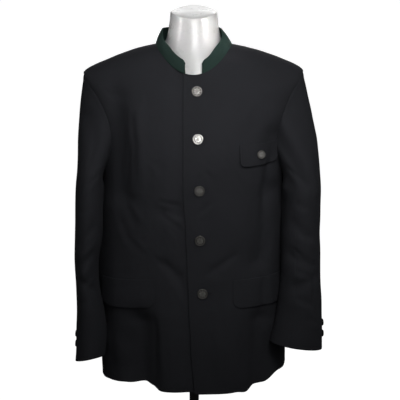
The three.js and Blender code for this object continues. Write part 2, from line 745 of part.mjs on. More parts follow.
function sleeveMeshes(word, side, table, folds) {
  const grid = sleeveGrid(side, table, folds);
  const count = grid[0].length;
  const normals = sleeveNormals(grid, armholeLoop(side), side);
  const half = (name, first, steps) => {
    const places = Array.from({ length: steps + 1 }, (unused, step) => (first + step) % count);
    const pick = (line) => places.map((place) => line[place]);
    const outer = drawIn(grid.map(pick), ["first", "last"]);
    const inner = offsetGrid(outer, normals.map(pick), -clothWall);
    return solidMesh(name, wallGeometry(outer, inner), cloth);
  };
  return [
    half("sleeve_" + word + "_top", hindSeam, count - hindSeam + frontSeam),
    half("sleeve_" + word + "_under", frontSeam, hindSeam - frontSeam),
  ];
}

const flapColumns = 9;
const flapRows = 4;
const flapEvenShare = 0.6;

// A pocket flap from points of the front, moved out, with its lower corners rounded
function flapMesh(name, flap) {
  const width = Math.abs(flap.x1 - flap.x0);
  const outer = [];
  const inner = [];
  for (let row = 0; row <= flapRows; row++) {
    outer.push([]);
    inner.push([]);
    for (let column = 0; column <= flapColumns; column++) {
      const f = mix(smooth(column / flapColumns), column / flapColumns, flapEvenShare);
      const gap = Math.min(f, 1 - f) * width;
      const short = Math.max(0, flap.corner - gap);
      const cut = flap.corner - Math.sqrt(flap.corner ** 2 - short ** 2);
      const x = mix(flap.x0, flap.x1, f);
      const z = mix(flap.top0, flap.top1, f) - ((flap.drop - cut) * row) / flapRows;
      const place = frontPlace(x, z);
      const normal = bodyNormal(place.t, place.at);
      const p = bodyPoint(place.t, place.at);
      inner[row].push(p.clone().addScaledVector(normal, flapLift));
      outer[row].push(p.clone().addScaledVector(normal, flapLift + clothWall));
    }
  }
  return solidMesh(name, wallGeometry(outer, inner), cloth);
}

// A turned button: a flat back, a raised rim and a low dome
function buttonGeometry(size) {
  const r = size.radius;
  const h = size.height;
  const profile = [
    [0, 0],
    [r * 0.92, 0],
    [r, h * 0.35],
    [r * 0.97, h * 0.78],
    [r * 0.86, h * 0.86],
    [r * 0.78, h * 0.62],
    [r * 0.45, h * 0.86],
    [0, h],
  ];
  const geometry = new THREE.LatheGeometry(
    profile.map(([x, y]) => new THREE.Vector2(x, y)),
    size.segments,
  );
  return geometry.rotateX(Math.PI / 2);
}

function buttonMesh(name, size, point, normal, lift) {
  const mesh = solidMesh(name, buttonGeometry(size), oldSilver);
  mesh.position.copy(point).addScaledVector(normal, lift);
  mesh.quaternion.setFromUnitVectors(new THREE.Vector3(0, 0, 1), normal);
  return mesh;
}

function buttonOnFront(name, size, spot, lift) {
  const place = frontPlace(spot.x, spot.z);
  const normal = bodyNormal(place.t, place.at);
  return buttonMesh(name, size, bodyPoint(place.t, place.at), normal, lift);
}

function frontButtonMeshes() {
  const meshes = frontButtons.map((spot, index) =>
    buttonOnFront("front_button_" + (index + 1), frontButton, spot, frontButtonLift),
  );
  const lift = flapLift + clothWall + chestButtonLift;
  meshes.push(buttonOnFront("chest_flap_button", chestFlapButton, chestButton, lift));
  return meshes;
}

function cuffButtonMeshes(word, side, table, buttons) {
  return buttons.map((button, index) => {
    const point = (turn, at) => sleeveRing(table, at, side, turn);
    let at = 0;
    while (point(button.turn, at).z > button.z) at += 0.01;
    const normal = surfaceNormal(point, button.turn, at, table.length - 1).multiplyScalar(side);
    const name = "cuff_button_" + word + "_" + (index + 1);
    return buttonMesh(name, cuffButton, point(button.turn, at), normal, cuffLift);
  });
}

// The white torso: rings closed by a tilted cap above and a flat bottom below
function dressForm() {
  const around = formAround;
  const rows = formRows;
  const last = formRings.length - 1;
  const points = [];
  for (let row = 0; row <= rows; row++)
    for (let index = 0; index < around; index++)
      points.push(ringPoint(formRings, index / around, (last * row) / rows));
  const triangles = [];
  for (let row = 0; row < rows; row++)
    for (let index = 0; index < around; index++) {
      const a = row * around + index;
      const b = row * around + ((index + 1) % around);
      triangles.push([a, a + around, b + around], [a, b + around, b]);
    }
  const addCap = (row, reversed) => {
    points.push(meanPoint(points.slice(row * around, (row + 1) * around)));
    for (let index = 0; index < around; index++) {
      const a = row * around + index;
      const b = row * around + ((index + 1) % around);
      triangles.push(reversed ? [points.length - 1, a, b] : [points.length - 1, b, a]);
    }
  };
  addCap(0, true);
  addCap(rows, false);
  return solidMesh("dress_form", closedGeometry(points, triangles), formWhite);
}

function pole() {
  const foot = socketFloor + touchGap;
  const length = formBottom - touchGap - foot;
  const rod = new THREE.CylinderGeometry(poleRadius, poleRadius, length, 24);
  const mesh = solidMesh("pole", rod, standBlack);
  mesh.rotation.x = Math.PI / 2;
  mesh.position.z = foot + length / 2;
  return mesh;
}

function base() {
  const hole = poleRadius + touchGap;
  const profile = [
    [0, 0],
    [baseRadius, 0],
    [baseRadius, baseHeight - baseEdge],
    [baseRadius - baseEdge, baseHeight],
    [poleRadius + hubFoot, baseHeight],
    [poleRadius + hubTop, hubHeight],
    [hole, hubHeight],
    [hole, socketFloor],
    [0, socketFloor],
  ];
  const lathe = new THREE.LatheGeometry(
    profile.map(([x, y]) => new THREE.Vector2(x, y)),
    48,
  );
  return solidMesh("base", lathe.rotateX(Math.PI / 2), standBlack);
}

const group = new THREE.Group();
group.name = "blazer_on_form";
group.add(leftFront(), rightFront(), back(), collar());
group.add(...sleeveMeshes("right", -1, rightSleeveRings, rightSleeveFolds));
group.add(...sleeveMeshes("left", 1, leftSleeveRings, leftSleeveFolds));
group.add(flapMesh("chest_flap", chestFlap));
group.add(flapMesh("hip_flap_right", rightHipFlap));
group.add(flapMesh("hip_flap_left", leftHipFlap));
group.add(...frontButtonMeshes());
group.add(...cuffButtonMeshes("right", -1, rightSleeveRings, rightCuffButtons));
group.add(...cuffButtonMeshes("left", 1, leftSleeveRings, leftCuffButtons));
group.add(dressForm(), pole(), base());

export default group;
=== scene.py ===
import bpy
import bmesh
import math
import numpy as np
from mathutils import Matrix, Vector


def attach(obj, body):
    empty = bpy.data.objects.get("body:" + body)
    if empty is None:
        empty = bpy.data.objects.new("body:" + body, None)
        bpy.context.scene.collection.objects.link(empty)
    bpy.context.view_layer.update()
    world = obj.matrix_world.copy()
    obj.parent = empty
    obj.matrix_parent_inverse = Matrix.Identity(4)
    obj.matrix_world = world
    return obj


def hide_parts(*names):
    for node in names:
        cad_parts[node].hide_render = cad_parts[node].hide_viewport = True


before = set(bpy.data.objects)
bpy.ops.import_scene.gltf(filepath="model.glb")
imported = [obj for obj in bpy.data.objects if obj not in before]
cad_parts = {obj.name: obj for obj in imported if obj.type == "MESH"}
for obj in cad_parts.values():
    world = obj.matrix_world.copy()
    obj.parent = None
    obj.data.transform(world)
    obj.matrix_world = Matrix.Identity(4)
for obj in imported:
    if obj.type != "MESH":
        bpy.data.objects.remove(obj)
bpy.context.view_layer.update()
print("stage: the packed frame is loaded")

# A stand-collar blazer on a dress form. The tables are in millimetres, +Z up, the blazer
# faces -Y and the wearer's left is +X. A mesh is made in metres by makeMesh.

cloth = {
    "wall": 2.0,
    "collarWall": 2.6,
    "fineStep": 0.0024,     # the step of a fine surface's normal
    "seamInset": 0.45,      # how far a seam's edge is drawn in
    "rimSteps": 3,          # points round a rolled edge
    "sleeveStart": -1.2,    # a sleeve's top is tucked in under the armhole's edge
    "sleeveSink": 0.9,
    "sleeveRope": 1.1,      # the roll of the sleeve's head beside its seam
    "sleeveClearance": 2.6,
    "armpitClearance": 0.9,  # above the waist the sleeve lies against the side
    "flapClearance": 3.5,
    "rippleDepth": 0.42,    # the cloth's own unevenness
    "rippleSize": 74.0,
    "puffDepth": 0.16,
    "puffSize": 21,
    "foldReach": 0.35,      # folds, creases and unevenness fade out towards the sides
    "creaseReach": 0.3,
    "rippleReach": 0.2,
}


def tableOf(names, rows):
    return [dict(zip(names, row)) for row in rows]


closing = {
    "underLap": 46.0,
    "underDrop": 3.4,
    "dipBefore": 42.0,      # the under front sinks from here before the edge
    "dipOver": 34.0,
    "collarEndX": 19.0,
    "foldFade": 16.0,       # folds and creases fade out at the closing
    "foldClear": (2, 4),
    "creaseFade": 14.0,
    "creaseClear": (1, 2),
    "edge": tableOf(("z", "x"), [
        (960, -22), (640, -22), (565, -17), (480, -14), (400, -11), (300, -6), (195, 1),
    ]),
}

# The blazer's outer surface from the neck to the hem, one row a ring
bodyNames = (
    "right", "left", "chest", "sideY", "rightZ", "leftZ", "frontY", "frontZ", "backY", "backZ", "power",
)
bodyRings = tableOf(bodyNames, [
    (84, 84, 84, 4, 953, 953, -95, 897, 72, 949, 2),
    (126, 126, 121, 3, 944, 944, -109, 866, 94, 924, 2.03),
    (188, 188, 163, 2, 921, 924, -123, 829, 113, 887, 2.06),
    (244, 242, 193, 0, 892, 896, -135, 788, 126, 840, 2.1),
    (239, 239, 206, 0, 852, 856, -143, 750, 133, 793, 2.15),
    (219, 217, 208, 0, 790, 790, -147, 713, 136, 744, 2.2),
    (208, 206, 205, 0, 722, 722, -148, 680, 135, 695, 2.2),
    (204, 202, 203, 0, 660, 660, -147, 642, 130, 648, 2.2),
    (207, 202, 204, 0, 590, 590, -143, 578, 122, 582, 2.2),
    (213, 204, 208, 0, 520, 520, -140, 512, 116, 514, 2.2),
    (218, 205, 211, 0, 448, 450, -140, 444, 118, 444, 2.25),
    (216, 208, 212, 0, 370, 375, -144, 367, 126, 367, 2.25),
    (214, 210, 212, 0, 283, 298, -148, 283, 133, 286, 2.25),
    (213, 211, 212, 0, 195, 222, -150, 195, 138, 203, 2.25),
])
shoulderRing = 3
armpitRing = 7
hemRing = len(bodyRings) - 1

formRings = tableOf(bodyNames, [
    (51, 51, 51, 0, 1025, 1025, -57, 1014, 57, 1035, 2),
    (53, 53, 53, -1, 1004, 1004, -60, 988, 57, 1012, 2),
    (57, 57, 57, -1, 980, 980, -67, 950, 57, 984, 2),
    (66, 66, 66, 0, 957, 957, -82, 905, 62, 954, 2),
    (96, 96, 94, 1, 946, 946, -96, 874, 81, 925, 2),
    (150, 150, 136, 1, 927, 930, -110, 838, 100, 893, 2),
    (190, 190, 160, 0, 910, 912, -120, 806, 112, 858, 2),
    (206, 206, 172, 0, 884, 886, -125, 778, 116, 822, 2),
    (200, 200, 176, 0, 842, 842, -126, 748, 117, 784, 2),
    (180, 180, 171, 0, 780, 780, -126, 712, 114, 736, 2),
    (166, 166, 166, 0, 700, 700, -122, 676, 108, 684, 2),
    (156, 156, 156, 0, 615, 615, -114, 605, 98, 608, 2),
    (150, 150, 150, 0, 535, 535, -107, 532, 90, 532, 2),
    (162, 162, 162, 0, 445, 445, -108, 445, 98, 445, 2),
    (164, 164, 164, 0, 375, 375, -108, 375, 100, 375, 2),
    (150, 150, 150, 0, 335, 335, -97, 335, 90, 335, 2),
])

hem = {
    "reach": 120.0,
    "lifts": tableOf(("x", "lift"), [
        (-214, 0), (-190, 5), (-150, 10), (-116, 15), (-96, 9), (-74, 0), (-8, 0), (10, -4.5),
        (92, -6.5), (121, -14), (141, -5), (160, -5.5), (186, 9), (214, 0),
    ]),
}

# Large folds, as in the solids: from (x, z) to (x, z), half width, depth. Minus is a trough.
foldNames = ("x0", "z0", "x1", "z1", "width", "depth")
frontFolds = tableOf(foldNames, [
    (-172, 850, -163, 640, 28, -13), (-124, 815, -124, 650, 20, 4), (178, 760, 172, 640, 26, -8),
    (170, 640, 146, 490, 24, -9), (150, 835, 118, 780, 24, -3), (-66, 603, -34, 606, 18, -4),
    (-64, 484, -36, 456, 18, -4), (84, 500, 50, 474, 18, -3), (-118, 345, -112, 190, 30, -20),
    (-62, 360, -58, 190, 24, 3), (146, 350, 139, 190, 23, -13), (184, 330, 186, 200, 20, 4),
    (70, 380, 84, 190, 28, 3),
])
backFolds = tableOf(foldNames, [
    (-158, 830, -150, 640, 24, -10), (160, 824, 148, 650, 24, -9), (-70, 600, -96, 470, 24, -6),
    (62, 585, 92, 480, 22, -5), (-112, 330, -118, 195, 28, -12), (20, 340, 14, 195, 30, -9),
    (128, 325, 136, 205, 26, -11),
])

# Fine creases: each is a narrow trough with a soft ridge along one side (1 right, -1 left of its way)
creaseNames = ("x0", "z0", "x1", "z1", "width", "depth", "ridge")
frontCreases = tableOf(creaseNames, [
    (-74, 628, -18, 617, 6, 1.5, 1), (-70, 600, -22, 558, 7, 1.7, -1), (-58, 575, -30, 545, 5, 0.8, 1),
    (-76, 500, -20, 441, 8, 2.2, 1), (-34, 456, -8, 398, 7, 1.9, 1), (-92, 505, -58, 470, 6, 1.0, -1),
    (94, 506, 14, 452, 8, 2.0, -1), (64, 470, 22, 436, 6, 1.0, 1), (44, 632, 6, 596, 6, 1.5, -1),
    (-10, 806, 32, 803, 6, 0.8, 1), (20, 700, 48, 668, 6, 0.7, -1), (-128, 838, -129, 640, 8, 2.8, -1),
    (-103, 866, -100, 786, 6, 0.9, 1), (-140, 760, -150, 655, 7, 1.4, 1), (156, 470, 152, 330, 9, 3.0, -1),
    (167, 730, 162, 640, 9, 3.4, -1), (165, 648, 156, 566, 9, 3.2, -1), (162, 575, 147, 468, 9, 2.6, -1),
    (150, 690, 164, 640, 7, 1.3, 1), (132, 640, 126, 540, 9, 1.1, 1), (-150, 620, -122, 560, 8, 1.6, -1),
    (-162, 590, -140, 520, 8, 1.5, 1), (-146, 540, -112, 500, 7, 1.1, -1), (-90, 372, -84, 192, 8, 3.4, -1),
    (-152, 340, -150, 192, 30, 8.0, 1), (-22, 400, -16, 260, 8, 0.9, -1), (52, 420, 66, 300, 9, 1.1, 1),
    (104, 400, 116, 200, 9, 1.5, -1), (34, 340, 44, 205, 8, 1.0, -1), (168, 350, 166, 215, 7, 1.3, 1),
    (-36, 300, -40, 200, 8, 1.0, 1), (120, 850, 96, 800, 9, 0.9, -1), (-92, 720, -60, 690, 8, 0.8, 1),
    (86, 690, 112, 640, 8, 0.8, -1), (178, 560, 160, 500, 7, 1.4, 1), (-186, 330, -182, 215, 7, 1.3, 1),
])
backCreases = tableOf(creaseNames, [
    (-110, 860, -122, 760, 8, 1.6, 1), (116, 856, 124, 770, 8, 1.4, -1), (-132, 740, -120, 660, 8, 1.7, 1),
    (134, 742, 118, 652, 8, 1.5, -1), (-96, 632, -24, 606, 8, 2.1, -1), (18, 600, 96, 628, 8, 1.9, 1),
    (-70, 590, -12, 574, 7, 1.3, 1), (24, 572, 76, 588, 7, 1.4, -1), (-40, 548, 34, 540, 8, 1.5, 1),
    (-128, 590, -84, 548, 8, 1.6, 1), (132, 594, 90, 545, 8, 1.5, -1), (-88, 500, -66, 400, 9, 1.3, -1),
    (84, 490, 66, 395, 9, 1.2, 1), (-20, 450, -26, 300, 9, 1.1, 1), (48, 400, 54, 230, 9, 1.3, -1),
    (-70, 380, -80, 210, 9, 1.5, 1), (-146, 360, -150, 215, 8, 1.4, -1), (152, 350, 158, 220, 8, 1.5, 1),
    (96, 360, 100, 215, 8, 1.1, -1), (-30, 850, 24, 846, 8, 1.0, 1), (-50, 820, -14, 790, 8, 0.8, -1),
    (44, 812, 20, 776, 8, 0.8, 1), (-160, 660, -140, 600, 7, 1.4, 1), (160, 656, 142, 604, 7, 1.4, -1),
])
creaseLook = {
    "narrow": 0.75, "widen": 0.5, "endRound": 0.08, "taper": 0.42, "ridge": 0.55, "ridgeAt": 1.75,
    "ridgeWidth": 1.1, "sleeveRidge": 0.5, "sleeveRidgeAt": -1.8, "sleeveRidgeWidth": 1.15,
}
waveLook = {"waves": 9, "least": 0.6, "most": 1.6, "phase": 6.28}  # what unevenness is made from
search = {"turnSteps": 12, "placeSteps": 40, "sideSteps": 26}


def mix(a, b, f):
    return a + (b - a) * f


def smooth(f):
    f = np.clip(f, 0, 1)
    return f * f * (3 - 2 * f)


def unit(v):
    return v / np.maximum(np.linalg.norm(v, axis=-1, keepdims=True), 1e-9)


def tableRow(table, at):  # a smooth curve through a table's rows
    last = len(table) - 1
    at = np.clip(np.asarray(at, float), 0, last)
    row = np.minimum(at.astype(int), last - 1)
    f = at - row
    result = {}
    for name in table[0]:
        column = np.array([entry[name] for entry in table], float)
        a, b, c, d = (column[np.clip(row + step, 0, last)] for step in (-1, 0, 1, 2))
        result[name] = ((2 * f**3 - 3 * f**2 + 1) * b + (f**3 - 2 * f**2 + f) * (c - a) / 2
                        + (3 * f**2 - 2 * f**3) * c + (f**3 - f**2) * (d - b) / 2)
    return result


def readTable(table, key, name, place):
    rows = sorted(table, key=lambda entry: entry[key])
    xs = np.array([entry[key] for entry in rows], float)
    ys = np.array([entry[name] for entry in rows], float)
    high = np.clip(np.searchsorted(xs, place), 1, len(xs) - 1)
    return mix(ys[high - 1], ys[high], smooth((place - xs[high - 1]) / (xs[high] - xs[high - 1])))


def ripple(p, size, seed):  # smooth unevenness from a few crossing waves
    rng = np.random.default_rng(seed)
    total = 0
    for wave in range(waveLook["waves"]):
        way = rng.normal(size=3)
        stretch = rng.uniform(waveLook["least"], waveLook["most"])
        way *= (2 * math.pi / size) * stretch / np.linalg.norm(way)
        total = total + np.sin(p @ way + rng.uniform(0, waveLook["phase"]))
    return total / math.sqrt(waveLook["waves"])


# Body surface. A turn of t: 0 is the wearer's left side, 0.25 the front, 0.5 the right side.
def halfWidth(ring, c):
    return mix(ring["chest"], np.where(c > 0, ring["left"], ring["right"]), c**4)


def ringPoint(table, t, at):
    ring = tableRow(table, at)
    c, s = np.cos(2 * math.pi * t), np.sin(2 * math.pi * t)
    exponent = 2 / ring["power"]
    endY = np.where(s > 0, ring["frontY"], ring["backY"])
    endZ = np.where(s > 0, ring["frontZ"], ring["backZ"])
    sideZ = np.where(c > 0, ring["leftZ"], ring["rightZ"])
    x = np.sign(c) * halfWidth(ring, c) * np.abs(c) ** exponent
    y = ring["sideY"] + (endY - ring["sideY"]) * np.abs(s) ** exponent
    return np.stack([x, y, mix(sideZ, endZ, s * s)], axis=-1)


def plainBody(t, at):
    t, at = np.broadcast_arrays(np.asarray(t, float), np.asarray(at, float))
    p = ringPoint(bodyRings, t, at)
    share = smooth(1 - (p[..., 2] - bodyRings[hemRing]["frontZ"]) / hem["reach"])
    lift = share * readTable(hem["lifts"], "x", "lift", p[..., 0])
    p[..., 2] += np.where(np.sin(2 * math.pi * t) > 0, lift, 0)
    return p


def edgeAtHeight(z):  # the closing edge's x at a height
    return readTable(closing["edge"], "z", "x", z)


def surfaceNormal(point, t, at, atEnd, step=0.004):
    alongT = point(t + step, at) - point(t - step, at)
    up = point(t, np.maximum(0, at - 10 * step)) - point(t, np.minimum(atEnd, at + 10 * step))
    return unit(np.cross(up, alongT))


def foldLine(x, z, x0, z0, dx, dz):  # how far along a fold a point lies, as a share, and how far beside it
    length = math.hypot(dx, dz)
    f = ((x - x0) * dx + (z - z0) * dz) / length**2
    return f, ((x - x0) * dz - (z - z0) * dx) / length


def roundFold(x, z, x0, z0, dx, dz, width):
    f = np.clip(foldLine(x, z, x0, z0, dx, dz)[0], 0, 1)
    away = np.hypot(x - x0 - f * dx, z - z0 - f * dz) / width
    return np.exp(-away * away)


def creaseTaper(f):
    end = creaseLook["endRound"]
    return smooth(np.minimum(f + end, 1 + end - f) / creaseLook["taper"])


def bell(value, centre, width):
    return np.exp(-(((value - centre) / width) ** 2))


def closingFade(fold, past, before, after, over):  # how clear of the closing edge a fold's point is
    return smooth((-past - before if fold["x0"] < 0 else past - after) / over)


def foldDepth(folds, x, z, front):
    past = x - edgeAtHeight(z)
    depth = 0
    for fold in folds:
        line = fold["x0"], fold["z0"], fold["x1"] - fold["x0"], fold["z1"] - fold["z0"]
        fade = closingFade(fold, past, *closing["foldClear"], closing["foldFade"]) if front else 1
        depth = depth + fold["depth"] * fade * roundFold(x, z, *line, fold["width"])
    return depth


def creaseDepth(creases, x, z, front):
    past = x - edgeAtHeight(z)
    x = x + 2.0 * np.sin(z / 31 + 0.7) + 1.2 * np.sin(z / 13 + x / 40)  # no crease is straight
    z = z + 1.6 * np.sin(x / 27 + 1.9)
    depth = 0
    for fold in creases:
        line = fold["x0"], fold["z0"], fold["x1"] - fold["x0"], fold["z1"] - fold["z0"]
        f, across = foldLine(x, z, *line)
        across = across * fold["ridge"]
        width = fold["width"] * (creaseLook["narrow"] + creaseLook["widen"] * np.clip(f, 0, 1))
        beside = bell(across, creaseLook["ridgeAt"] * width, creaseLook["ridgeWidth"] * width)
        rise = creaseLook["ridge"] * beside - bell(across, 0, width)
        fade = closingFade(fold, past, *closing["creaseClear"], closing["creaseFade"]) if front else 1
        depth = depth + fold["depth"] * creaseTaper(f) * fade * rise
    return depth


def bodySurface(t, at, fine):
    t, at = np.broadcast_arrays(np.asarray(t, float), np.asarray(at, float))
    p = plainBody(t, at)
    normal = surfaceNormal(plainBody, t, at, hemRing)
    s = np.sin(2 * math.pi * t)
    reach = smooth(np.abs(s) / cloth["foldReach"])
    x, z = p[..., 0], p[..., 2]
    inFront = s > 0
    depth = np.where(inFront, foldDepth(frontFolds, x, z, True), foldDepth(backFolds, x, z, False)) * reach
    if fine:
        frontDepth = creaseDepth(frontCreases, x, z, True)
        creases = np.where(inFront, frontDepth, creaseDepth(backCreases, x, z, False))
        depth = depth + creases * smooth(np.abs(s) / cloth["creaseReach"])
        uneven = ripple(p, cloth["rippleSize"], 3) * smooth(np.abs(s) / cloth["rippleReach"])
        depth = depth + cloth["rippleDepth"] * uneven
        depth = depth + cloth["puffDepth"] * ripple(p, cloth["puffSize"], 5)
    return p + normal * depth[..., None]


def bodyPoint(t, at):
    return bodySurface(t, at, False)


def finePoint(t, at):
    return bodySurface(t, at, True)


def frontTurn(x, at):  # the turn at which a ring has a wanted x, on its front half
    ring = tableRow(bodyRings, at)
    c = np.zeros(np.broadcast(x, at).shape)
    for step in range(search["turnSteps"]):
        c = np.sign(x) * np.clip(np.abs(x) / halfWidth(ring, c), 0, 1) ** (ring["power"] / 2)
    return np.arccos(c) / (2 * math.pi)


def frontPlace(x, z):  # the turn and the row of the front's point at a wanted x and z
    x, z = np.broadcast_arrays(np.asarray(x, float), np.asarray(z, float))
    low, high = np.zeros(x.shape), np.full(x.shape, float(hemRing))
    for step in range(search["placeSteps"]):
        middle = (low + high) / 2
        above = plainBody(frontTurn(x, middle), middle)[..., 2] > z
        low, high = np.where(above, middle, low), np.where(above, high, middle)
    return frontTurn(x, low), low


armhole = {"front": 0.084, "back": 0.074, "even": 0.45, "bow": 0.275, "low": 0.85, "full": 0.62}


def armholeAt(f):  # f runs from 0 at the shoulder to 1 at the armpit
    return mix(shoulderRing, armpitRing, armhole["even"] * f + armhole["bow"] * (1 - np.cos(math.pi * f)))


def armholeTurn(side, at):
    f = np.clip((at - shoulderRing) / (armpitRing - shoulderRing), 0, 1)
    return armhole[side] * np.maximum(0, np.sin(math.pi * f ** armhole["low"])) ** armhole["full"]


# Meshes
def addThing(name, data):
    thing = bpy.data.objects.new(name, data)
    bpy.context.scene.collection.objects.link(thing)
    return thing


def makeMesh(name, points, faces, material, uv=None, attributes=None):
    mesh = bpy.data.meshes.new(name)
    mesh.from_pydata((np.asarray(points) * 0.001).tolist(), [], faces)
    mesh.polygons.foreach_set("use_smooth", [True] * len(mesh.polygons))
    if uv is not None:
        layer = mesh.uv_layers.new(name="weave")
        loops = np.empty(len(mesh.loops), np.int32)
        mesh.loops.foreach_get("vertex_index", loops)
        layer.data.foreach_set("uv", (np.asarray(uv)[loops] * 0.001).ravel())
    for key, values in (attributes or {}).items():
        mesh.attributes.new(key, "FLOAT", "POINT").data.foreach_set("value", np.asarray(values, float))
    mesh.materials.append(material)
    mesh.update()
    return addThing(name, mesh)


def gridUv(grid, column=0):  # arc lengths along and down the cloth, from one column and the top
    along = np.linalg.norm(np.diff(grid, axis=1), axis=-1)
    u = np.concatenate([np.zeros((len(grid), 1)), np.cumsum(along, axis=1)], axis=1)
    u = u - u[:, column][:, None]
    down = np.linalg.norm(np.diff(grid, axis=0), axis=-1)
    v = np.concatenate([np.zeros((1, grid.shape[1])), np.cumsum(down, axis=0)], axis=0)
    return np.stack([u, -v], axis=-1)


def drawIn(grid, edges, amount):
    moved = grid.copy()
    for edge in edges:
        here, inside = {
            "top": (np.s_[0, :], np.s_[1, :]), "bottom": (np.s_[-1, :], np.s_[-2, :]),
            "first": (np.s_[:, 0], np.s_[:, 1]), "last": (np.s_[:, -1], np.s_[:, -2]),
        }[edge]
        moved[here] += unit(grid[inside] - grid[here]) * amount
    return moved


def clothShell(name, grid, normals, wall, material, uv=None):  # wall is a number, or one for each point
    rows, columns = grid.shape[:2]
    count = rows * columns
    wall = np.broadcast_to(wall, (rows, columns))[..., None]
    inner = grid - normals * wall
    ids = np.arange(count).reshape(rows, columns)
    a, b, c, d = ids[:-1, :-1], ids[1:, :-1], ids[1:, 1:], ids[:-1, 1:]
    outerFaces = np.stack([a, b, c, d], axis=-1).reshape(-1, 4)
    innerFaces = np.stack([a, d, c, b], axis=-1).reshape(-1, 4) + count
    loop = np.concatenate([ids[0, :-1], ids[:-1, -1], ids[-1, :0:-1], ids[:0:-1, 0]])
    flat, flatNormals = grid.reshape(-1, 3), normals.reshape(-1, 3)
    inside = np.zeros((rows, columns, 3))
    inside[0] += unit(grid[1] - grid[0])
    inside[-1] += unit(grid[-2] - grid[-1])
    inside[:, 0] += unit(grid[:, 1] - grid[:, 0])
    inside[:, -1] += unit(grid[:, -2] - grid[:, -1])
    edge, edgeNormals = flat[loop], flatNormals[loop]
    out = -inside.reshape(-1, 3)[loop]
    out = unit(out - edgeNormals * np.sum(out * edgeNormals, axis=-1, keepdims=True))
    half = wall.reshape(-1, 1)[loop] / 2
    centre = edge - edgeNormals * half
    rings = [loop]
    points = [flat, inner.reshape(-1, 3)]
    made = 2 * count
    for step in range(1, cloth["rimSteps"] + 1):
        angle = math.pi * step / (cloth["rimSteps"] + 1)
        points.append(centre + half * (math.cos(angle) * edgeNormals + math.sin(angle) * out))
        rings.append(np.arange(made, made + len(loop)))
        made += len(loop)
    rings.append(loop + count)
    rim = []
    for ringA, ringB in zip(rings, rings[1:]):
        rim.append(np.stack([ringA, np.roll(ringA, -1), np.roll(ringB, -1), ringB], axis=-1))
    faces = np.concatenate([outerFaces, innerFaces] + rim)
    allPoints = np.concatenate(points)
    corners = allPoints[outerFaces]
    facing = np.cross(corners[:, 1] - corners[:, 0], corners[:, 3] - corners[:, 0])
    if np.sum(facing * flatNormals[outerFaces[:, 0]]) < 0:
        faces = faces[:, ::-1]
    if uv is None:
        uv = gridUv(grid, columns // 2)
    flatUv = uv.reshape(-1, 2)
    allUv = np.concatenate([flatUv, flatUv] + [flatUv[loop]] * cloth["rimSteps"])
    return makeMesh(name, allPoints, faces.tolist(), material, allUv)


# Materials
def addNode(tree, kind, **values):
    node = tree.nodes.new(kind)
    for key, value in values.items():
        setattr(node, key, value)
    return node


def noiseNode(tree, vector, scale, detail=2.0, roughness=0.55):
    node = addNode(tree, "ShaderNodeTexNoise")
    node.inputs["Scale"].default_value = scale
    node.inputs["Detail"].default_value = detail
    node.inputs["Roughness"].default_value = roughness
    tree.links.new(vector, node.inputs["Vector"])
    return node.outputs["Fac"]


def rampNode(tree, value, stops):
    node = addNode(tree, "ShaderNodeValToRGB")
    ramp = node.color_ramp
    while len(ramp.elements) < len(stops):
        ramp.elements.new(0.5)
    for element, (place, colour) in zip(ramp.elements, stops):
        element.position = place
        element.color = (*colour, 1)
    tree.links.new(value, node.inputs["Fac"])
    return node.outputs["Color"]


def mathNode(tree, operation, a, b):
    node = addNode(tree, "ShaderNodeMath", operation=operation)
    for index, value in enumerate((a, b)):
        if isinstance(value, (int, float)):
            node.inputs[index].default_value = value
        else:
            tree.links.new(value, node.inputs[index])
    return node.outputs[0]


def mixColour(tree, factor, a, b, blend="MIX"):
    node = addNode(tree, "ShaderNodeMix", data_type="RGBA", blend_type=blend)
    for index, value in ((0, factor), (6, a), (7, b)):
        if isinstance(value, (int, float)):
            node.inputs[index].default_value = value
        elif isinstance(value, tuple):
            node.inputs[index].default_value = (*value, 1)
        else:
            tree.links.new(value, node.inputs[index])
    return node.outputs[2]


def bumpNode(tree, height, strength, distance, before=None):
    node = addNode(tree, "ShaderNodeBump")
    node.inputs["Strength"].default_value = strength
    node.inputs["Distance"].default_value = distance
    tree.links.new(height, node.inputs["Height"])
    if before is not None:
        tree.links.new(before, node.inputs["Normal"])
    return node.outputs["Normal"]


def times(tree, a, b):
    return mathNode(tree, "MULTIPLY", a, b)


def plus(tree, a, b):
    return mathNode(tree, "ADD", a, b)


def objectPlace(tree):
    return addNode(tree, "ShaderNodeTexCoord").outputs["Object"]


def paint(tree, shader, socket, value, stops):  # a socket coloured by a value through a ramp
    tree.links.new(rampNode(tree, value, stops), shader.inputs[socket])


def grey(value):
    return (value,) * 3


def newMaterial(name, **fixed):
    material = bpy.data.materials.new(name)
    material.use_nodes = True
    tree = material.node_tree
    shader = tree.nodes["Principled BSDF"]
    for key, value in fixed.items():
        shader.inputs[key.replace("_", " ")].default_value = value
    return material, tree, shader


def waveNode(tree, vector, scale, direction="X", profile="SIN", distortion=0.0):
    node = addNode(tree, "ShaderNodeTexWave", bands_direction=direction, wave_profile=profile)
    node.inputs["Scale"].default_value = scale
    node.inputs["Distortion"].default_value = distortion
    node.inputs["Detail"].default_value = 2.0
    node.inputs["Detail Scale"].default_value = 1.5
    tree.links.new(vector, node.inputs["Vector"])
    return node.outputs["Fac"]


suiting = {
    "dark": (0.0115, 0.0118, 0.0140),
    "light": (0.0285, 0.0295, 0.0345),
    "twill": 0.0013,       # metres from rib to rib
    "yarn": 0.0009,
    "sheen": 0.012,
    "roughness": 0.86,
}


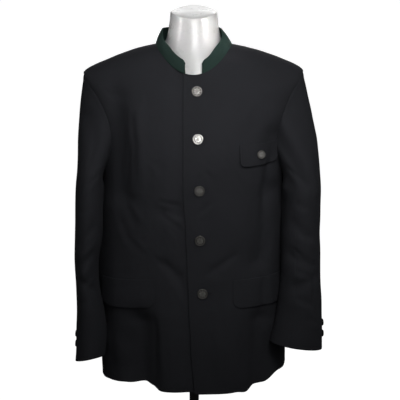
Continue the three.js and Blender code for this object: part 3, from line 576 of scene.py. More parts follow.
def woolMaterial(name, look):
    material, tree, shader = newMaterial(name, Sheen_Weight=look["sheen"], Sheen_Roughness=0.45)
    shader.inputs["Sheen Tint"].default_value = (*look.get("nap", (0.55, 0.58, 0.66)), 1)
    shader.inputs["Specular IOR Level"].default_value = 0.18
    uv = addNode(tree, "ShaderNodeUVMap", uv_map="weave").outputs["UV"]
    turned = addNode(tree, "ShaderNodeMapping")
    turned.inputs["Rotation"].default_value = (0, 0, math.radians(63))
    tree.links.new(uv, turned.inputs["Vector"])
    place = objectPlace(tree)
    period = 2 * math.pi / 20  # a wave texture's own width at scale 1
    ribs = waveNode(tree, turned.outputs["Vector"], period / look["twill"], "X", distortion=0.25)
    warp = waveNode(tree, uv, period / look["yarn"], "X", distortion=0.5)
    weft = waveNode(tree, uv, period / look["yarn"], "Y", distortion=0.5)
    weave = plus(tree, times(tree, ribs, 0.65), times(tree, times(tree, warp, weft), 0.5))
    fuzz = noiseNode(tree, uv, 2600, 3)
    melange = noiseNode(tree, uv, 420, 4, 0.7)
    worn = noiseNode(tree, place, 9.0, 3, 0.6)
    height = plus(tree, weave, times(tree, fuzz, 0.5))
    tone = plus(tree, times(tree, height, 0.34), times(tree, melange, 0.4))
    tone = plus(tree, tone, times(tree, worn, 0.3))
    paint(tree, shader, "Base Color", tone, [(0.28, look["dark"]), (0.86, look["light"])])
    rough = plus(tree, times(tree, worn, 0.14), look["roughness"] - 0.07)
    tree.links.new(rough, shader.inputs["Roughness"])
    puffs = bumpNode(tree, noiseNode(tree, uv, 150, 3), 0.22, 0.0006)
    tree.links.new(bumpNode(tree, height, 0.42, 0.00032, puffs), shader.inputs["Normal"])
    return material


suitCloth = woolMaterial("black_wool_suiting", suiting)
collarFelt = woolMaterial("bottle_green_felt", {
    "dark": (0.0105, 0.0225, 0.0185), "light": (0.0275, 0.053, 0.0445), "twill": 0.0021, "yarn": 0.0013,
    "sheen": 0.03, "roughness": 0.9, "nap": (0.4, 0.6, 0.52),
})
print("stage: the cloth's materials are ready")


# Body panels
panelLook = {"shoulderRows": 26, "armholeRows": 74, "skirtRows": 118, "frontColumns": 92, "backColumns": 128}

panelAt = np.concatenate([
    np.linspace(0, shoulderRing, panelLook["shoulderRows"], endpoint=False),
    armholeAt(np.linspace(0, 1, panelLook["armholeRows"] + 1)),
    np.linspace(armpitRing, hemRing, panelLook["skirtRows"] + 1)[1:],
])


def edgeX(at):
    return edgeAtHeight(plainBody(0.25, at)[..., 2])


def panelGrid(columns, start, end, drop=None):
    at = np.repeat(panelAt[:, None], columns + 1, axis=1)
    t = start[:, None] + (end - start)[:, None] * np.linspace(0, 1, columns + 1)
    grid = finePoint(t, at)
    normals = surfaceNormal(finePoint, t, at, hemRing, cloth["fineStep"])
    if drop is not None:
        grid = grid - normals * drop(t, at)[..., None]
    return grid, normals


def underDip(t, at):
    past = plainBody(t, at)[..., 0] - edgeX(at)
    return closing["underDrop"] * smooth((past + closing["dipBefore"]) / closing["dipOver"])


def makePanel(name, columns, start, end, seams, drop=None):
    grid, normals = panelGrid(columns, start, end, drop)
    grid = drawIn(grid, seams, cloth["seamInset"])
    uv = gridUv(grid, columns if "last" in seams else 0)
    return clothShell(name, grid, normals, cloth["wall"], suitCloth, uv)


frontColumns = panelLook["frontColumns"]
frontLeft = makePanel("blazer_front_left", frontColumns, armholeTurn("front", panelAt),
                      frontTurn(edgeX(panelAt), panelAt), ["first"])
frontRight = makePanel("blazer_front_right", frontColumns,
                       frontTurn(edgeX(panelAt) + closing["underLap"], panelAt),
                       0.5 - armholeTurn("front", panelAt), ["last"], underDip)
backPanel = makePanel("blazer_back", panelLook["backColumns"], 0.5 + armholeTurn("back", panelAt),
                      1 - armholeTurn("back", panelAt), ["first", "last"])
print("stage: fronts and back are sewn")


# Stand collar
collar = {
    "height": 38.0, "corner": 9.0, "bulge": 1.5, "around": 220, "rows": 22, "halfTop": 66.0, "sideY": 2.0,
    "sideZ": 987.0, "frontY": -87.0, "frontZ": 924.0, "backY": 62.0, "backZ": 986.0, "bend": 1.6,
    "neckRadius": 78, "lift": 0.35, "footRoll": 0.35, "rollAt": 0.09, "rollWidth": 0.05, "ripple": 0.3,
    "rippleSize": 46, "endCrowd": 0.25, "turnStep": 0.004,
    "lean": tableOf(("s", "right", "left"), [
        (-1, 0, 0), (0, 4.4, -5), (0.5, 9, 3), (0.72, 4.5, 0), (1, 4, 4),
    ]),
}


def collarTop(t):
    c, s = np.cos(2 * math.pi * t), np.sin(2 * math.pi * t)
    endY = np.where(s > 0, collar["frontY"], collar["backY"])
    endZ = np.where(s > 0, collar["frontZ"], collar["backZ"])
    y = collar["sideY"] + (endY - collar["sideY"]) * np.abs(s)
    right, left = (readTable(collar["lean"], "s", name, s) for name in ("right", "left"))
    x = collar["halfTop"] * c + np.sign(c) * np.where(c < 0, right, left)
    return np.stack([x, y, mix(collar["sideZ"], endZ, np.abs(s) ** collar["bend"])], axis=-1)


def makeCollar():
    endTurn = float(frontTurn(np.array(closing["collarEndX"]), np.array(0.0)))
    step = np.linspace(0, 1, collar["around"])
    crowd = collar["endCrowd"]  # the columns stand closer together at the collar's ends
    step = (1 - crowd) * step + crowd * (1 - np.cos(math.pi * step)) / 2
    t = mix(endTurn, -0.5 - endTurn, step)
    fromEnd = np.minimum(step, 1 - step) * 2 * math.pi * collar["neckRadius"]
    short = np.maximum(0, collar["corner"] - fromEnd)
    height = 1 - (collar["corner"] - np.sqrt(collar["corner"]**2 - short**2)) / collar["height"]
    foot = plainBody(t, 0 * t) + np.array([0, 0, collar["lift"]])
    rise = collarTop(t) - foot
    along = plainBody(t + collar["turnStep"], 0 * t) - plainBody(t - collar["turnStep"], 0 * t)
    out = unit(np.cross(along, rise))
    out = out * np.where(np.sum(out[:, :2] * foot[:, :2], axis=-1) < 0, -1, 1)[:, None]
    rows = np.linspace(0, 1, collar["rows"])[:, None, None]
    roll = collar["footRoll"] * bell(rows, collar["rollAt"], collar["rollWidth"])
    grid = foot + rise * rows * height[:, None] + out * (collar["bulge"] * np.sin(math.pi * rows) + roll)
    grid = grid + out * collar["ripple"] * ripple(grid, collar["rippleSize"], 8)[..., None]
    normals = np.repeat(out[None], collar["rows"], axis=0)
    uv = gridUv(grid, collar["around"] // 2)
    return clothShell("blazer_collar", grid, normals, cloth["collarWall"], collarFelt, uv)


collarPiece = makeCollar()


# Sleeves. A turn of 0 is outside, 0.25 in front, 0.5 inside and 0.75 behind.
sleeveNames = ("z", "outer", "inner", "y", "depth")
creaseTurns = ("turn0", "z0", "turn1", "z1", "width", "depth")
sleeves = {
    "right": {
        "side": -1, "bow": 8, "across": -0.19, "forward": 0.24,
        "rings": tableOf(sleeveNames, [
            (640, 262.5, 200, -32, 76), (590, 265, 203, -38, 73), (530, 267, 205, -44, 70),
            (470, 268, 214, -50, 68), (410, 266, 212, -51, 66), (365, 265, 203, -57, 63),
            (325, 266, 197, -61, 61), (285, 267.5, 198, -65, 60), (249, 270, 202, -68, 59),
        ]),
        "folds": tableOf(creaseTurns, [
            (0.1, 800, 0.24, 700, 16, -4), (0.32, 560, 0.16, 520, 13, -4), (0.34, 500, 0.12, 468, 13, -5),
            (0.34, 420, 0.18, 444, 12, -4), (0.86, 600, 0.7, 540, 15, -4), (0.78, 380, 0.92, 340, 14, -3),
        ]),
        "creases": tableOf(creaseTurns, [
            (0.36, 690, 0.2, 640, 8, -1.8), (0.3, 610, 0.12, 588, 8, -1.4), (0.36, 540, 0.2, 505, 7, -1.7),
            (0.3, 486, 0.14, 452, 7, -1.6), (0.36, 455, 0.22, 430, 6, -1.5), (0.28, 400, 0.08, 380, 8, -1.3),
            (0.2, 352, 0.06, 330, 8, -1.1), (0.9, 560, 0.76, 505, 8, -1.6), (0.88, 505, 0.74, 470, 7, -1.4),
            (0.08, 700, 0.04, 560, 9, 1.3), (0.16, 780, 0.2, 680, 7, -1.5), (0.6, 560, 0.74, 520, 8, -1.5),
            (0.58, 500, 0.7, 470, 7, -1.3), (0.9, 440, 0.8, 400, 8, -1.2), (0.94, 760, 0.86, 690, 9, -1.5),
            (0.72, 720, 0.8, 640, 8, -1.6), (0.14, 420, 0.12, 300, 9, -1.2),
        ]),
        "buttons": [{"z": 299, "turn": 0.955}, {"z": 275, "turn": 0.955}],
    },
    "left": {
        "side": 1, "bow": 11, "across": -0.16, "forward": 0.02,
        "rings": tableOf(sleeveNames, [
            (640, 283, 197, -33, 70), (590, 283, 196, -41, 67), (540, 282, 194, -50, 62),
            (490, 283, 194, -59, 57), (440, 284, 193, -66, 53), (395, 286, 188, -76, 48),
            (355, 287.5, 183, -85, 44), (320, 287.5, 176, -93, 41), (292, 287.5, 170, -99, 39),
        ]),
        "folds": tableOf(creaseTurns, [
            (0.2, 800, 0.13, 640, 15, 4), (0.26, 780, 0.24, 660, 14, -4), (0.32, 570, 0.2, 545, 14, -4),
            (0.34, 500, 0.14, 476, 14, -5), (0.3, 430, 0.1, 452, 13, -4), (0.84, 590, 0.68, 530, 15, -4),
            (0.42, 715, 0.42, 645, 16, 6), (0.6, 715, 0.6, 645, 16, 5),
        ]),
        "creases": tableOf(creaseTurns, [
            (0.34, 700, 0.22, 655, 8, -1.7), (0.32, 620, 0.18, 600, 8, -1.5), (0.1, 720, 0.07, 600, 9, -1.3),
            (0.3, 552, 0.12, 530, 7, -1.6), (0.36, 520, 0.24, 498, 6, -1.4), (0.32, 470, 0.16, 452, 7, -1.7),
            (0.2, 505, 0.04, 492, 8, -1.2), (0.14, 470, 0.14, 395, 7, -1.5), (0.3, 408, 0.14, 386, 7, -1.4),
            (0.9, 560, 0.74, 500, 8, -1.6), (0.86, 490, 0.72, 455, 7, -1.3), (0.58, 560, 0.7, 520, 8, -1.5),
            (0.94, 770, 0.86, 700, 9, -1.5), (0.7, 720, 0.78, 630, 8, -1.6), (0.22, 360, 0.1, 345, 8, -1.0),
            (0.92, 420, 0.82, 385, 8, -1.2),
        ]),
        "buttons": [{"z": 337, "turn": 0.965}, {"z": 312, "turn": 0.965}],
    },
}
sleeveLook = {
    "loop": 120, "headRows": 46, "rows": 132, "frontSeam": 36, "hindSeam": 84, "girth": 55.0,
    "headOut": 8, "headForward": 11, "headSag": 0.3, "headBend": 0.36,
    "quietRows": 14,  # creases and ripples come in over these rows under the seam
    "ripple": 0.4, "rippleSize": 66,
    "ropeAt": 8, "ropeWidth": 6, "ropeLow": 1.7, "ropeFull": 0.2,
    "nextRing": 0.4, "startLift": 0.5,
    "ventTurn": 0.915, "ventEnd": 1.02, "ventTop": 88.0, "ventLap": 1.1, "ventStep": 1.6, "ventFade": 12,
    "ventRound": 0.06,
    "flapLow": 372, "flapHigh": 462, "waist": 520, "waistBlend": 60,
}


def bodySideX(side, y, z):  # the x of the body's side at a wanted y and z
    low, high = np.zeros(y.shape), np.full(y.shape, float(hemRing))
    for step in range(search["sideSteps"]):
        at = (low + high) / 2
        ring = tableRow(bodyRings, at)
        end = np.where(y < ring["sideY"], ring["frontY"], ring["backY"])
        s = np.clip(np.abs((y - ring["sideY"]) / (end - ring["sideY"])), 0, 1) ** (ring["power"] / 2)
        turn = np.arcsin(s) / (2 * math.pi)
        quarter = turn if side > 0 else 0.5 - turn
        t = np.where(y < ring["sideY"], quarter, -quarter)
        above = plainBody(t, at)[..., 2] > z
        low, high = np.where(above, at, low), np.where(above, high, at)
    return np.abs(bodyPoint(t, low)[..., 0])


def sleeveRing(sleeve, at, turn):
    ring = tableRow(sleeve["rings"], at)
    down = at / (len(sleeve["rings"]) - 1)
    middle = (ring["outer"] + ring["inner"]) / 2
    across = (ring["outer"] - ring["inner"]) / 2 * np.cos(2 * math.pi * turn)
    forward = ring["depth"] * np.sin(2 * math.pi * turn)
    lift = (sleeve["across"] * across + sleeve["forward"] * forward) * down * down
    return np.stack([sleeve["side"] * (middle + across), ring["y"] - forward, ring["z"] + lift], axis=-1)


def armholeLoop(side):
    index = np.arange(sleeveLook["loop"]) / sleeveLook["loop"]
    onFront = index <= 0.5
    row = np.where(onFront, 2 * index, 2 - 2 * index)
    at = armholeAt(row)
    cut = np.where(onFront, armholeTurn("front", at), -armholeTurn("back", at))
    t = cut if side > 0 else 0.5 - cut
    return finePoint(t, at), surfaceNormal(finePoint, t, at, hemRing, cloth["fineStep"]), row


def sleeveLines(fold):  # a fold's line on the unrolled sleeve, and the same one a turn on either side
    girth = 2 * math.pi * sleeveLook["girth"]
    dx, dz = girth * (fold["turn1"] - fold["turn0"]), fold["z1"] - fold["z0"]
    return [(girth * (fold["turn0"] + wrap), fold["z0"], dx, dz) for wrap in (-1, 0, 1)]


def sleeveCreases(table, around, z):
    wave = around + 2.0 * np.sin(z / 26 + 1.1)
    depth = 0
    for fold in table:
        for line in sleeveLines(fold):
            f, across = foldLine(wave, z, *line)
            width = fold["width"]
            ridgeAt, ridgeWidth = creaseLook["sleeveRidgeAt"] * width, creaseLook["sleeveRidgeWidth"] * width
            rise = bell(across, 0, width) - creaseLook["sleeveRidge"] * bell(across, ridgeAt, ridgeWidth)
            depth = depth + fold["depth"] * creaseTaper(f) * rise
    return depth


def sleeveFolds(table, around, z):
    depth = 0
    for fold in table:
        for line in sleeveLines(fold):
            depth = depth + fold["depth"] * roundFold(around, z, *line, fold["width"])
    return depth


def headGrid(sleeve, start, turn):  # the sleeve's head, swung from the armhole to the arm's first ring
    look, side, angle = sleeveLook, sleeve["side"], 2 * math.pi * turn
    end = sleeveRing(sleeve, np.zeros(len(turn)), turn)
    following = sleeveRing(sleeve, np.full(len(turn), look["nextRing"]), turn)
    fall = start[:, 2] - end[:, 2]
    outward = side * (look["headOut"] + sleeve["bow"] * np.maximum(0, np.cos(angle)))
    out = np.stack([outward, -look["headForward"] * np.sin(angle), -look["headSag"] * fall], axis=-1)
    bend = unit(end - following) * look["headBend"] * fall[:, None]
    f = np.linspace(0, 1, look["headRows"] + 1)[:, None, None]
    head = (1 - f)**3 * start + 3 * (1 - f)**2 * f * (start + out)
    return head + 3 * (1 - f) * f * f * (end + bend) + f**3 * end


def sleeveDepth(sleeve, grid, turn, down):  # folds, creases, the cuff's lapped vent and the head's roll
    look, z = sleeveLook, grid[..., 2]
    girth = 2 * math.pi * look["girth"]
    around = np.broadcast_to(girth * turn, grid.shape[:2])
    fine = sleeveCreases(sleeve["creases"], around, z)
    fine = fine + look["ripple"] * ripple(grid, look["rippleSize"], 11 + sleeve["side"])
    fromHead = smooth(np.arange(len(grid)) / look["quietRows"])[:, None]
    depth = sleeveFolds(sleeve["folds"], around, z) + fromHead * fine
    lap = smooth((turn - look["ventTurn"]) * girth / look["ventStep"])
    lap = lap * smooth((look["ventEnd"] - turn) / look["ventRound"])
    low = smooth((grid[-1, :, 2] + look["ventTop"] - z) / look["ventFade"])
    depth = depth + look["ventLap"] * lap * low
    fromSeam = np.cumsum(np.linalg.norm(np.diff(grid, axis=0, prepend=grid[:1]), axis=-1), axis=0)
    roll = bell(fromSeam, look["ropeAt"], look["ropeWidth"])
    depth = depth + cloth["sleeveRope"] * (roll * (1 - smooth(down * look["ropeLow"] - look["ropeFull"])))
    depth[0] = 0
    return depth


def keepClear(side, grid):  # the sleeve is pushed out where it would enter the body's side or a flap
    look, y, z = sleeveLook, grid[..., 1], grid[..., 2]
    byFlap = (z > look["flapLow"]) & (z < look["flapHigh"]) & (y < 0)
    above = smooth((z - look["waist"]) / look["waistBlend"])
    clearance = mix(cloth["sleeveClearance"], cloth["armpitClearance"], above)
    reach = bodySideX(side, y, z) + (clearance + np.where(byFlap, cloth["flapClearance"], 0))
    close = (z < bodyRings[armpitRing]["leftZ"] + 2) & (np.abs(grid[..., 0]) < reach)
    close[0] = False
    grid[..., 0] = np.where(close, side * reach, grid[..., 0])


def sleeveGrid(sleeve):
    side, count = sleeve["side"], sleeveLook["loop"]
    start, loopNormals, down = armholeLoop(side)
    turn = np.arange(count) / count
    start[:, 0] += side * cloth["sleeveStart"]
    start -= loopNormals * cloth["sleeveSink"]
    start[:, 2] += sleeveLook["startLift"] * smooth(down * 2 - 1)
    at = np.linspace(0, len(sleeve["rings"]) - 1, sleeveLook["rows"] + 1)[1:, None]
    arm = sleeveRing(sleeve, *np.broadcast_arrays(at, turn[None]))
    grid = np.concatenate([headGrid(sleeve, start, turn), arm])
    out = grid - grid.mean(axis=1, keepdims=True)
    out[..., 2] = 0
    grid = grid + unit(out) * sleeveDepth(sleeve, grid, turn, down)[..., None]
    keepClear(side, grid)
    along = np.roll(grid, -1, axis=1) - np.roll(grid, 1, axis=1)
    rows = np.arange(len(grid))
    upDown = grid[np.maximum(0, rows - 1)] - grid[np.minimum(len(grid) - 1, rows + 1)]
    normals = unit(np.cross(upDown, along) * side)
    share = (1 - smooth(down * 2 - 0.9))[:, None]
    normals[0] = unit(mix(normals[0], loopNormals, share))
    return grid, normals


def makeSleeve(word):
    sleeve = sleeves[word]
    grid, normals = sleeveGrid(sleeve)
    sleeve["grid"], sleeve["normals"] = grid, normals
    count = sleeveLook["loop"]
    halves = []
    front, hind = sleeveLook["frontSeam"], sleeveLook["hindSeam"]
    for half, first, steps in (("top", hind, count - hind + front), ("under", front, hind - front)):
        pick = (first + np.arange(steps + 1)) % count
        piece = drawIn(grid[:, pick], ["first", "last"], cloth["seamInset"])
        name = "blazer_sleeve_" + word + "_" + half
        uv = gridUv(piece, steps // 2)
        halves.append(clothShell(name, piece, normals[:, pick], cloth["wall"], suitCloth, uv))
    return halves


sleevePieces = {word: makeSleeve(word) for word in sleeves}
print("stage: collar and sleeves are set in")


# Pocket flaps, cut from points of the front and moved out
flaps = {
    "chest_flap": {"x0": 99, "x1": 186, "top0": 750, "top1": 752, "drop": 46, "corner": 12,
                   "lift0": 1.0, "lift1": 1.0, "hang": 2.6},
    "hip_flap_right": {"x0": -86, "x1": -204, "top0": 451, "top1": 438, "drop": 63, "corner": 18,
                       "lift0": 0.15, "lift1": 1.0, "hang": 2.4},
    "hip_flap_left": {"x0": 86, "x1": 194, "top0": 449, "top1": 450, "drop": 63, "corner": 18,
                      "lift0": 0.15, "lift1": 1.0, "hang": 2.2},
}
flapLook = {"columns": 70, "rows": 38, "lift": 0.45, "wave": 0.5, "thin": 0.8, "thinEnd": 0.45,
            "looseEnd": 0.7, "waves": 5.5, "curl": 1.6, "endCrowd": 0.4, "stitchInset": 5.0,
            "stitchEnd": 0.05, "stitchTurn": 0.08, "stitchDown": 24, "stitchAcross": 60}


def flapPlace(flap, f, row):
    gap = np.minimum(f, 1 - f) * abs(flap["x1"] - flap["x0"])
    short = np.maximum(0, flap["corner"] - gap)
    cut = flap["corner"] - np.sqrt(flap["corner"]**2 - short**2)
    x = mix(flap["x0"], flap["x1"], f) + 0 * row
    z = mix(flap["top0"], flap["top1"], f) - (flap["drop"] - cut) * row
    return x, z


def flapSurface(flap, f, row, extra=0.0):
    x, z = flapPlace(flap, f, row)
    t, at = frontPlace(x, z)
    normal = surfaceNormal(finePoint, t, at, hemRing)
    p = finePoint(t, at)
    # The end by the closing lies flatter
    loose = mix(flap["lift0"], flap["lift1"], smooth(f / flapLook["looseEnd"]))
    wave = flapLook["wave"] * np.sin(flapLook["waves"] * f + 1) * row**2
    lift = flapLook["lift"] + loose * (flap["hang"] * row ** flapLook["curl"] + wave)
    return p + normal * (lift + extra)[..., None], normal


def flapWall(flap, f):  # a flap is pressed thin towards an end that lies flat
    thin = mix(flapLook["thin"], cloth["wall"], flap["lift0"])
    return mix(thin, cloth["wall"], smooth(f / flapLook["thinEnd"]))


def makeFlap(name):
    f = np.linspace(0, 1, flapLook["columns"] + 1)
    f = smooth(f) * flapLook["endCrowd"] + f * (1 - flapLook["endCrowd"])
    f, row = np.meshgrid(f, np.linspace(0, 1, flapLook["rows"] + 1))
    wall = flapWall(flaps[name], f)
    grid, normals = flapSurface(flaps[name], f, row, wall)
    return clothShell("blazer_" + name, grid, normals, wall, suitCloth)


flapPieces = {name: makeFlap(name) for name in flaps}
print("stage: pocket flaps are on")


# Buttons: worn old silver with a corded rim and a plain eight-leaf flower
buttonLook = {
    "rings": 34, "around": 112, "cords": 40, "leaves": 8, "shank": 2.6, "crown": 0.66, "dome": 0.08,
    "relief": 0.17, "rimStart": 0.94, "rimDrop": 0.42, "backLift": 0.12, "backEdge": 0.9, "shankDepth": 0.5,
    "firstRing": 0.03, "backTone": 0.15, "shankTone": 0.1, "cordAt": 0.88, "cordWidth": 0.065,
    "ridgeAt": 0.75, "ridgeWidth": 0.022, "leafEnd": 0.69, "leafStart": 0.15, "leafFade": 0.08, "boss": 0.13,
}
buttonSizes = {
    "front": {"radius": 11.5, "height": 3.6, "lift": 0.8},
    "chest": {"radius": 9.0, "height": 3.0, "lift": 0.6},
    "cuff": {"radius": 8.0, "height": 3.0, "lift": 0.35},
}
# The second button carries a painted glint: its painted_glint value lightens its colour to stand in for a
# lamp's reflection.
frontButtons = [{"x": 7, "z": 863}, {"x": 9, "z": 765, "tip": 5.2, "painted_glint": 0.42}, {"x": 12.5, "z": 654},
                {"x": 13.6, "z": 542}, {"x": 19, "z": 421.5}]
chestButton = {"x": 145, "z": 727, "facing": (0.12, -0.98, 0.16), "loose": 0.7, "clear": 0.5}


def silverMaterial():
    material, tree, shader = newMaterial("old_silver", Metallic=1.0)
    # The relief attribute is the button's relief, darker in the hollows as patina, plus on the second button
    # a painted glint that lightens its colour.
    relief = addNode(tree, "ShaderNodeAttribute", attribute_name="relief").outputs["Fac"]
    place = objectPlace(tree)
    wear = noiseNode(tree, place, 420, 4, 0.65)
    grime = noiseNode(tree, place, 150, 3, 0.6)
    tone = plus(tree, relief, times(tree, mathNode(tree, "SUBTRACT", wear, 0.5), 0.5))
    # The top stop is reached only through the painted glint: a painted highlight, not the metal's own colour.
    colour = rampNode(tree, tone, [
        (0.1, (0.035, 0.033, 0.03)), (0.45, (0.155, 0.152, 0.143)), (0.85, (0.54, 0.53, 0.51)),
        (1.0, (0.86, 0.85, 0.83)),
    ])
    dirty = mixColour(tree, times(tree, grime, 0.35), colour, (0.10, 0.092, 0.08))
    tree.links.new(dirty, shader.inputs["Base Color"])
    paint(tree, shader, "Roughness", tone, [(0.15, grey(0.62)), (0.9, grey(0.27))])
    scratches = noiseNode(tree, place, 1600, 3, 0.6)
    tree.links.new(bumpNode(tree, scratches, 0.2, 0.0001), shader.inputs["Normal"])
    return material


oldSilver = silverMaterial()


def buttonRelief(r, angle):  # height from 0 to 1 over the button's face
    look = buttonLook
    rim = bell(r, look["cordAt"], look["cordWidth"]) * (0.72 + 0.28 * np.cos(look["cords"] * angle + 14 * r))
    ridge = 0.5 * bell(r, look["ridgeAt"], look["ridgeWidth"])
    swing = np.abs(np.cos(look["leaves"] * angle / 2))
    leaf = smooth((swing - 0.35 - 0.55 * np.abs(r / 0.66 - 0.52)) / 0.3)
    leaf = leaf * smooth((look["leafEnd"] - r) / look["leafFade"])
    leaf = leaf * smooth((r - look["leafStart"]) / look["leafFade"])
    vein = 1 - 0.35 * bell(swing, 1, 0.012)
    boss = 0.95 * np.exp(-((r / look["boss"]) ** 4)) * (0.86 + 0.14 * np.cos(6 * angle))
    return np.clip(rim + ridge + 0.85 * leaf * vein + boss, 0, 1)


def circle(r, angle, z):
    return np.stack([r * np.cos(angle), r * np.sin(angle), 0 * angle + z], axis=-1)


def ringFaces(ringCount, around, pointCount):  # quads between rings, and a fan to the point at each end
    faces = []
    for row in range(ringCount - 1):
        for index in range(around):
            a, b = 1 + row * around + index, 1 + row * around + (index + 1) % around
            faces.append((a, a + around, b + around, b))
    last = 1 + (ringCount - 1) * around
    for index in range(around):
        following = (index + 1) % around
        faces.append((0, 1 + index, 1 + following))
        faces.append((pointCount - 1, last + following, last + index))
    return faces


def makeButton(name, size, point, normal, lift, turn=0.0, painted_glint=0.0):
    radius, height, look = size["radius"], size["height"], buttonLook
    angle = np.linspace(0, 2 * math.pi, look["around"], endpoint=False)
    r = np.linspace(look["firstRing"], 1, look["rings"])[:, None] + 0 * angle
    relief = buttonRelief(r, angle + turn)
    crown = height * (look["crown"] + look["dome"] * (1 - r * r))
    rim = height * look["rimDrop"] * smooth((r - look["rimStart"]) / (1 - look["rimStart"]))
    z = np.where(r > look["rimStart"], crown - rim, crown) + look["relief"] * height * relief
    loops = list(circle(r * radius, angle, z))
    tones = list(relief)
    shank, deep = look["shank"] / radius, look["shankDepth"]
    for out, up in ((1.0, look["backLift"]), (look["backEdge"], 0.0), (shank, 0.0), (shank, -deep)):
        loops.append(circle(out * radius, angle, up * height))
        tones.append(0 * angle + look["backTone"])
    points = np.concatenate([[[0, 0, loops[0][0, 2]]], np.concatenate(loops), [[0, 0, -deep * height]]])
    tone = np.concatenate([[relief[0, 0]], np.concatenate(tones), [look["shankTone"]]])
    faces = ringFaces(len(loops), look["around"], len(points))
    turnIt = np.array(Vector((0, 0, 1)).rotation_difference(Vector(normal)).to_matrix())
    points = points @ turnIt.T + point + normal * lift
    # The painted glint is added to the relief tone here, so it paints a lighter colour onto the whole button.
    return makeMesh(name, points, faces, oldSilver, None, {"relief": tone + painted_glint})


def surfacePlace(x, z):
    t, at = frontPlace(np.array([float(x)]), np.array([float(z)]))
    return finePoint(t, at)[0], surfaceNormal(bodyPoint, t, at, hemRing)[0]


buttons = {}
for index, spot in enumerate(frontButtons):
    point, normal = surfacePlace(spot["x"], spot["z"])
    normal = unit(normal + np.array([0, 0, math.tan(math.radians(spot.get("tip", 0)))]))  # sewn on loosely
    node, size = "front_button_" + str(index + 1), buttonSizes["front"]
    buttons[node] = makeButton("silver_" + node, size, point, normal, size["lift"],
                               0.4 * index, spot.get("painted_glint", 0.0))
point, normal = surfacePlace(chestButton["x"], chestButton["z"])
normal = unit(mix(normal, np.array(chestButton["facing"]), chestButton["loose"]))
size = buttonSizes["chest"]
chestLift = flapLook["lift"] + flaps["chest_flap"]["hang"] * 0.5 + cloth["wall"]
chestLift = chestLift + size["lift"] + chestButton["clear"]
buttons["chest_flap_button"] = makeButton("silver_chest_flap_button", size, point, normal, chestLift, 0.3)
for word, sleeve in sleeves.items():
    for index, spot in enumerate(sleeve["buttons"]):
        column = int(round(spot["turn"] * sleeveLook["loop"]))
        row = int(np.argmin(np.abs(sleeve["grid"][:, column, 2] - spot["z"])))
        node = "cuff_button_" + word + "_" + str(index + 1)
        buttons[node] = makeButton("silver_" + node, buttonSizes["cuff"], sleeve["grid"][row, column],
                                   sleeve["normals"][row, column], buttonSizes["cuff"]["lift"], 0.9 * index)
print("stage: buttons are sewn on")


# Dress form, pole and base
formLook = {"around": 150, "rows": 210, "rim": 3.2, "rimSteps": 4, "capRings": 9, "crown": 1.6,
            "capShare": 0.94, "rimFall": 0.6}
stand = {
    "poleRadius": 11.0, "poleRound": 0.8, "socketFloor": 6.0, "bottom": 335.0, "gap": 0.3,
    "baseRadius": 150.0, "baseHeight": 8.0, "baseRound": 1.6, "hubFoot": 24.0, "hubTop": 19.5,
    "hubHeight": 18.0,
}


def formMaterial():
    material, tree, shader = newMaterial("white_gloss_plastic", Coat_Weight=0.35, Coat_Roughness=0.12)
    shader.inputs["Specular IOR Level"].default_value = 0.5
    place = objectPlace(tree)
    haze = noiseNode(tree, place, 7, 3, 0.55)
    paint(tree, shader, "Base Color", haze, [(0.3, (0.615, 0.615, 0.61)), (0.75, (0.69, 0.69, 0.68))])
    handled = noiseNode(tree, place, 38, 4, 0.6)
    paint(tree, shader, "Roughness", handled, [(0.3, grey(0.24)), (0.8, grey(0.38))])
    peel = bumpNode(tree, noiseNode(tree, place, 330, 2), 0.12, 0.0004)
    tree.links.new(bumpNode(tree, noiseNode(tree, place, 26, 2), 0.15, 0.0012, peel), shader.inputs["Normal"])
    return material


def enamelMaterial():
    material, tree, shader = newMaterial("satin_black_enamel", Coat_Weight=0.2, Coat_Roughness=0.3)
    place = objectPlace(tree)
    mottle = noiseNode(tree, place, 60, 3, 0.6)
    paint(tree, shader, "Base Color", mottle, [(0.3, grey(0.0095)), (0.8, (0.019, 0.019, 0.02))])
    paint(tree, shader, "Roughness", mottle, [(0.3, grey(0.38)), (0.8, grey(0.52))])
    tree.links.new(bumpNode(tree, noiseNode(tree, place, 900, 3), 0.25, 0.0003), shader.inputs["Normal"])
    return material


def ringMesh(name, rings, material):  # rings of points closed to a point at both ends
    points = np.concatenate([rings[0][None]] + rings[1:-1] + [rings[-1][None]])
    faces = ringFaces(len(rings) - 2, len(rings[1]), len(points))
    piece = makeMesh(name, points, faces, material)
    shape = bmesh.new()
    shape.from_mesh(piece.data)
    bmesh.ops.recalc_face_normals(shape, faces=shape.faces)
    shape.to_mesh(piece.data)
    shape.free()
    return piece


def formCap(ends, way, crown):  # from the cap's middle point out to its rolled edge
    centre = ends.mean(axis=0)
    rings = []
    for step in range(1, formLook["capRings"]):
        f = step / formLook["capRings"]
        ring = mix(centre, ends, f * formLook["capShare"])
        ring[:, 2] += crown * (1 - f * f)
        rings.append(ring)
    for step in range(formLook["rimSteps"]):
        turn = step / formLook["rimSteps"] * math.pi / 2
        ring = mix(centre, ends, formLook["capShare"] + (1 - formLook["capShare"]) * math.sin(turn))
        ring[:, 2] -= way * formLook["rim"] * (1 - math.cos(turn)) * formLook["rimFall"]
        rings.append(ring)
    return centre + np.array([0, 0, crown]), rings


def makeForm():
    turn = np.linspace(0, 1, formLook["around"], endpoint=False)
    last = len(formRings) - 1
    at = np.linspace(0, last, formLook["rows"])
    side = [ringPoint(formRings, turn, np.full(turn.shape, row)) for row in at]
    topPoint, topRings = formCap(ringPoint(formRings, turn, 0 * turn), 1, formLook["crown"])
    lowPoint, lowRings = formCap(ringPoint(formRings, turn, 0 * turn + last), -1, 0.0)
    rings = [topPoint] + topRings + side[2:-1] + lowRings[::-1] + [lowPoint]
    return ringMesh("torso_form", rings, formMaterial())


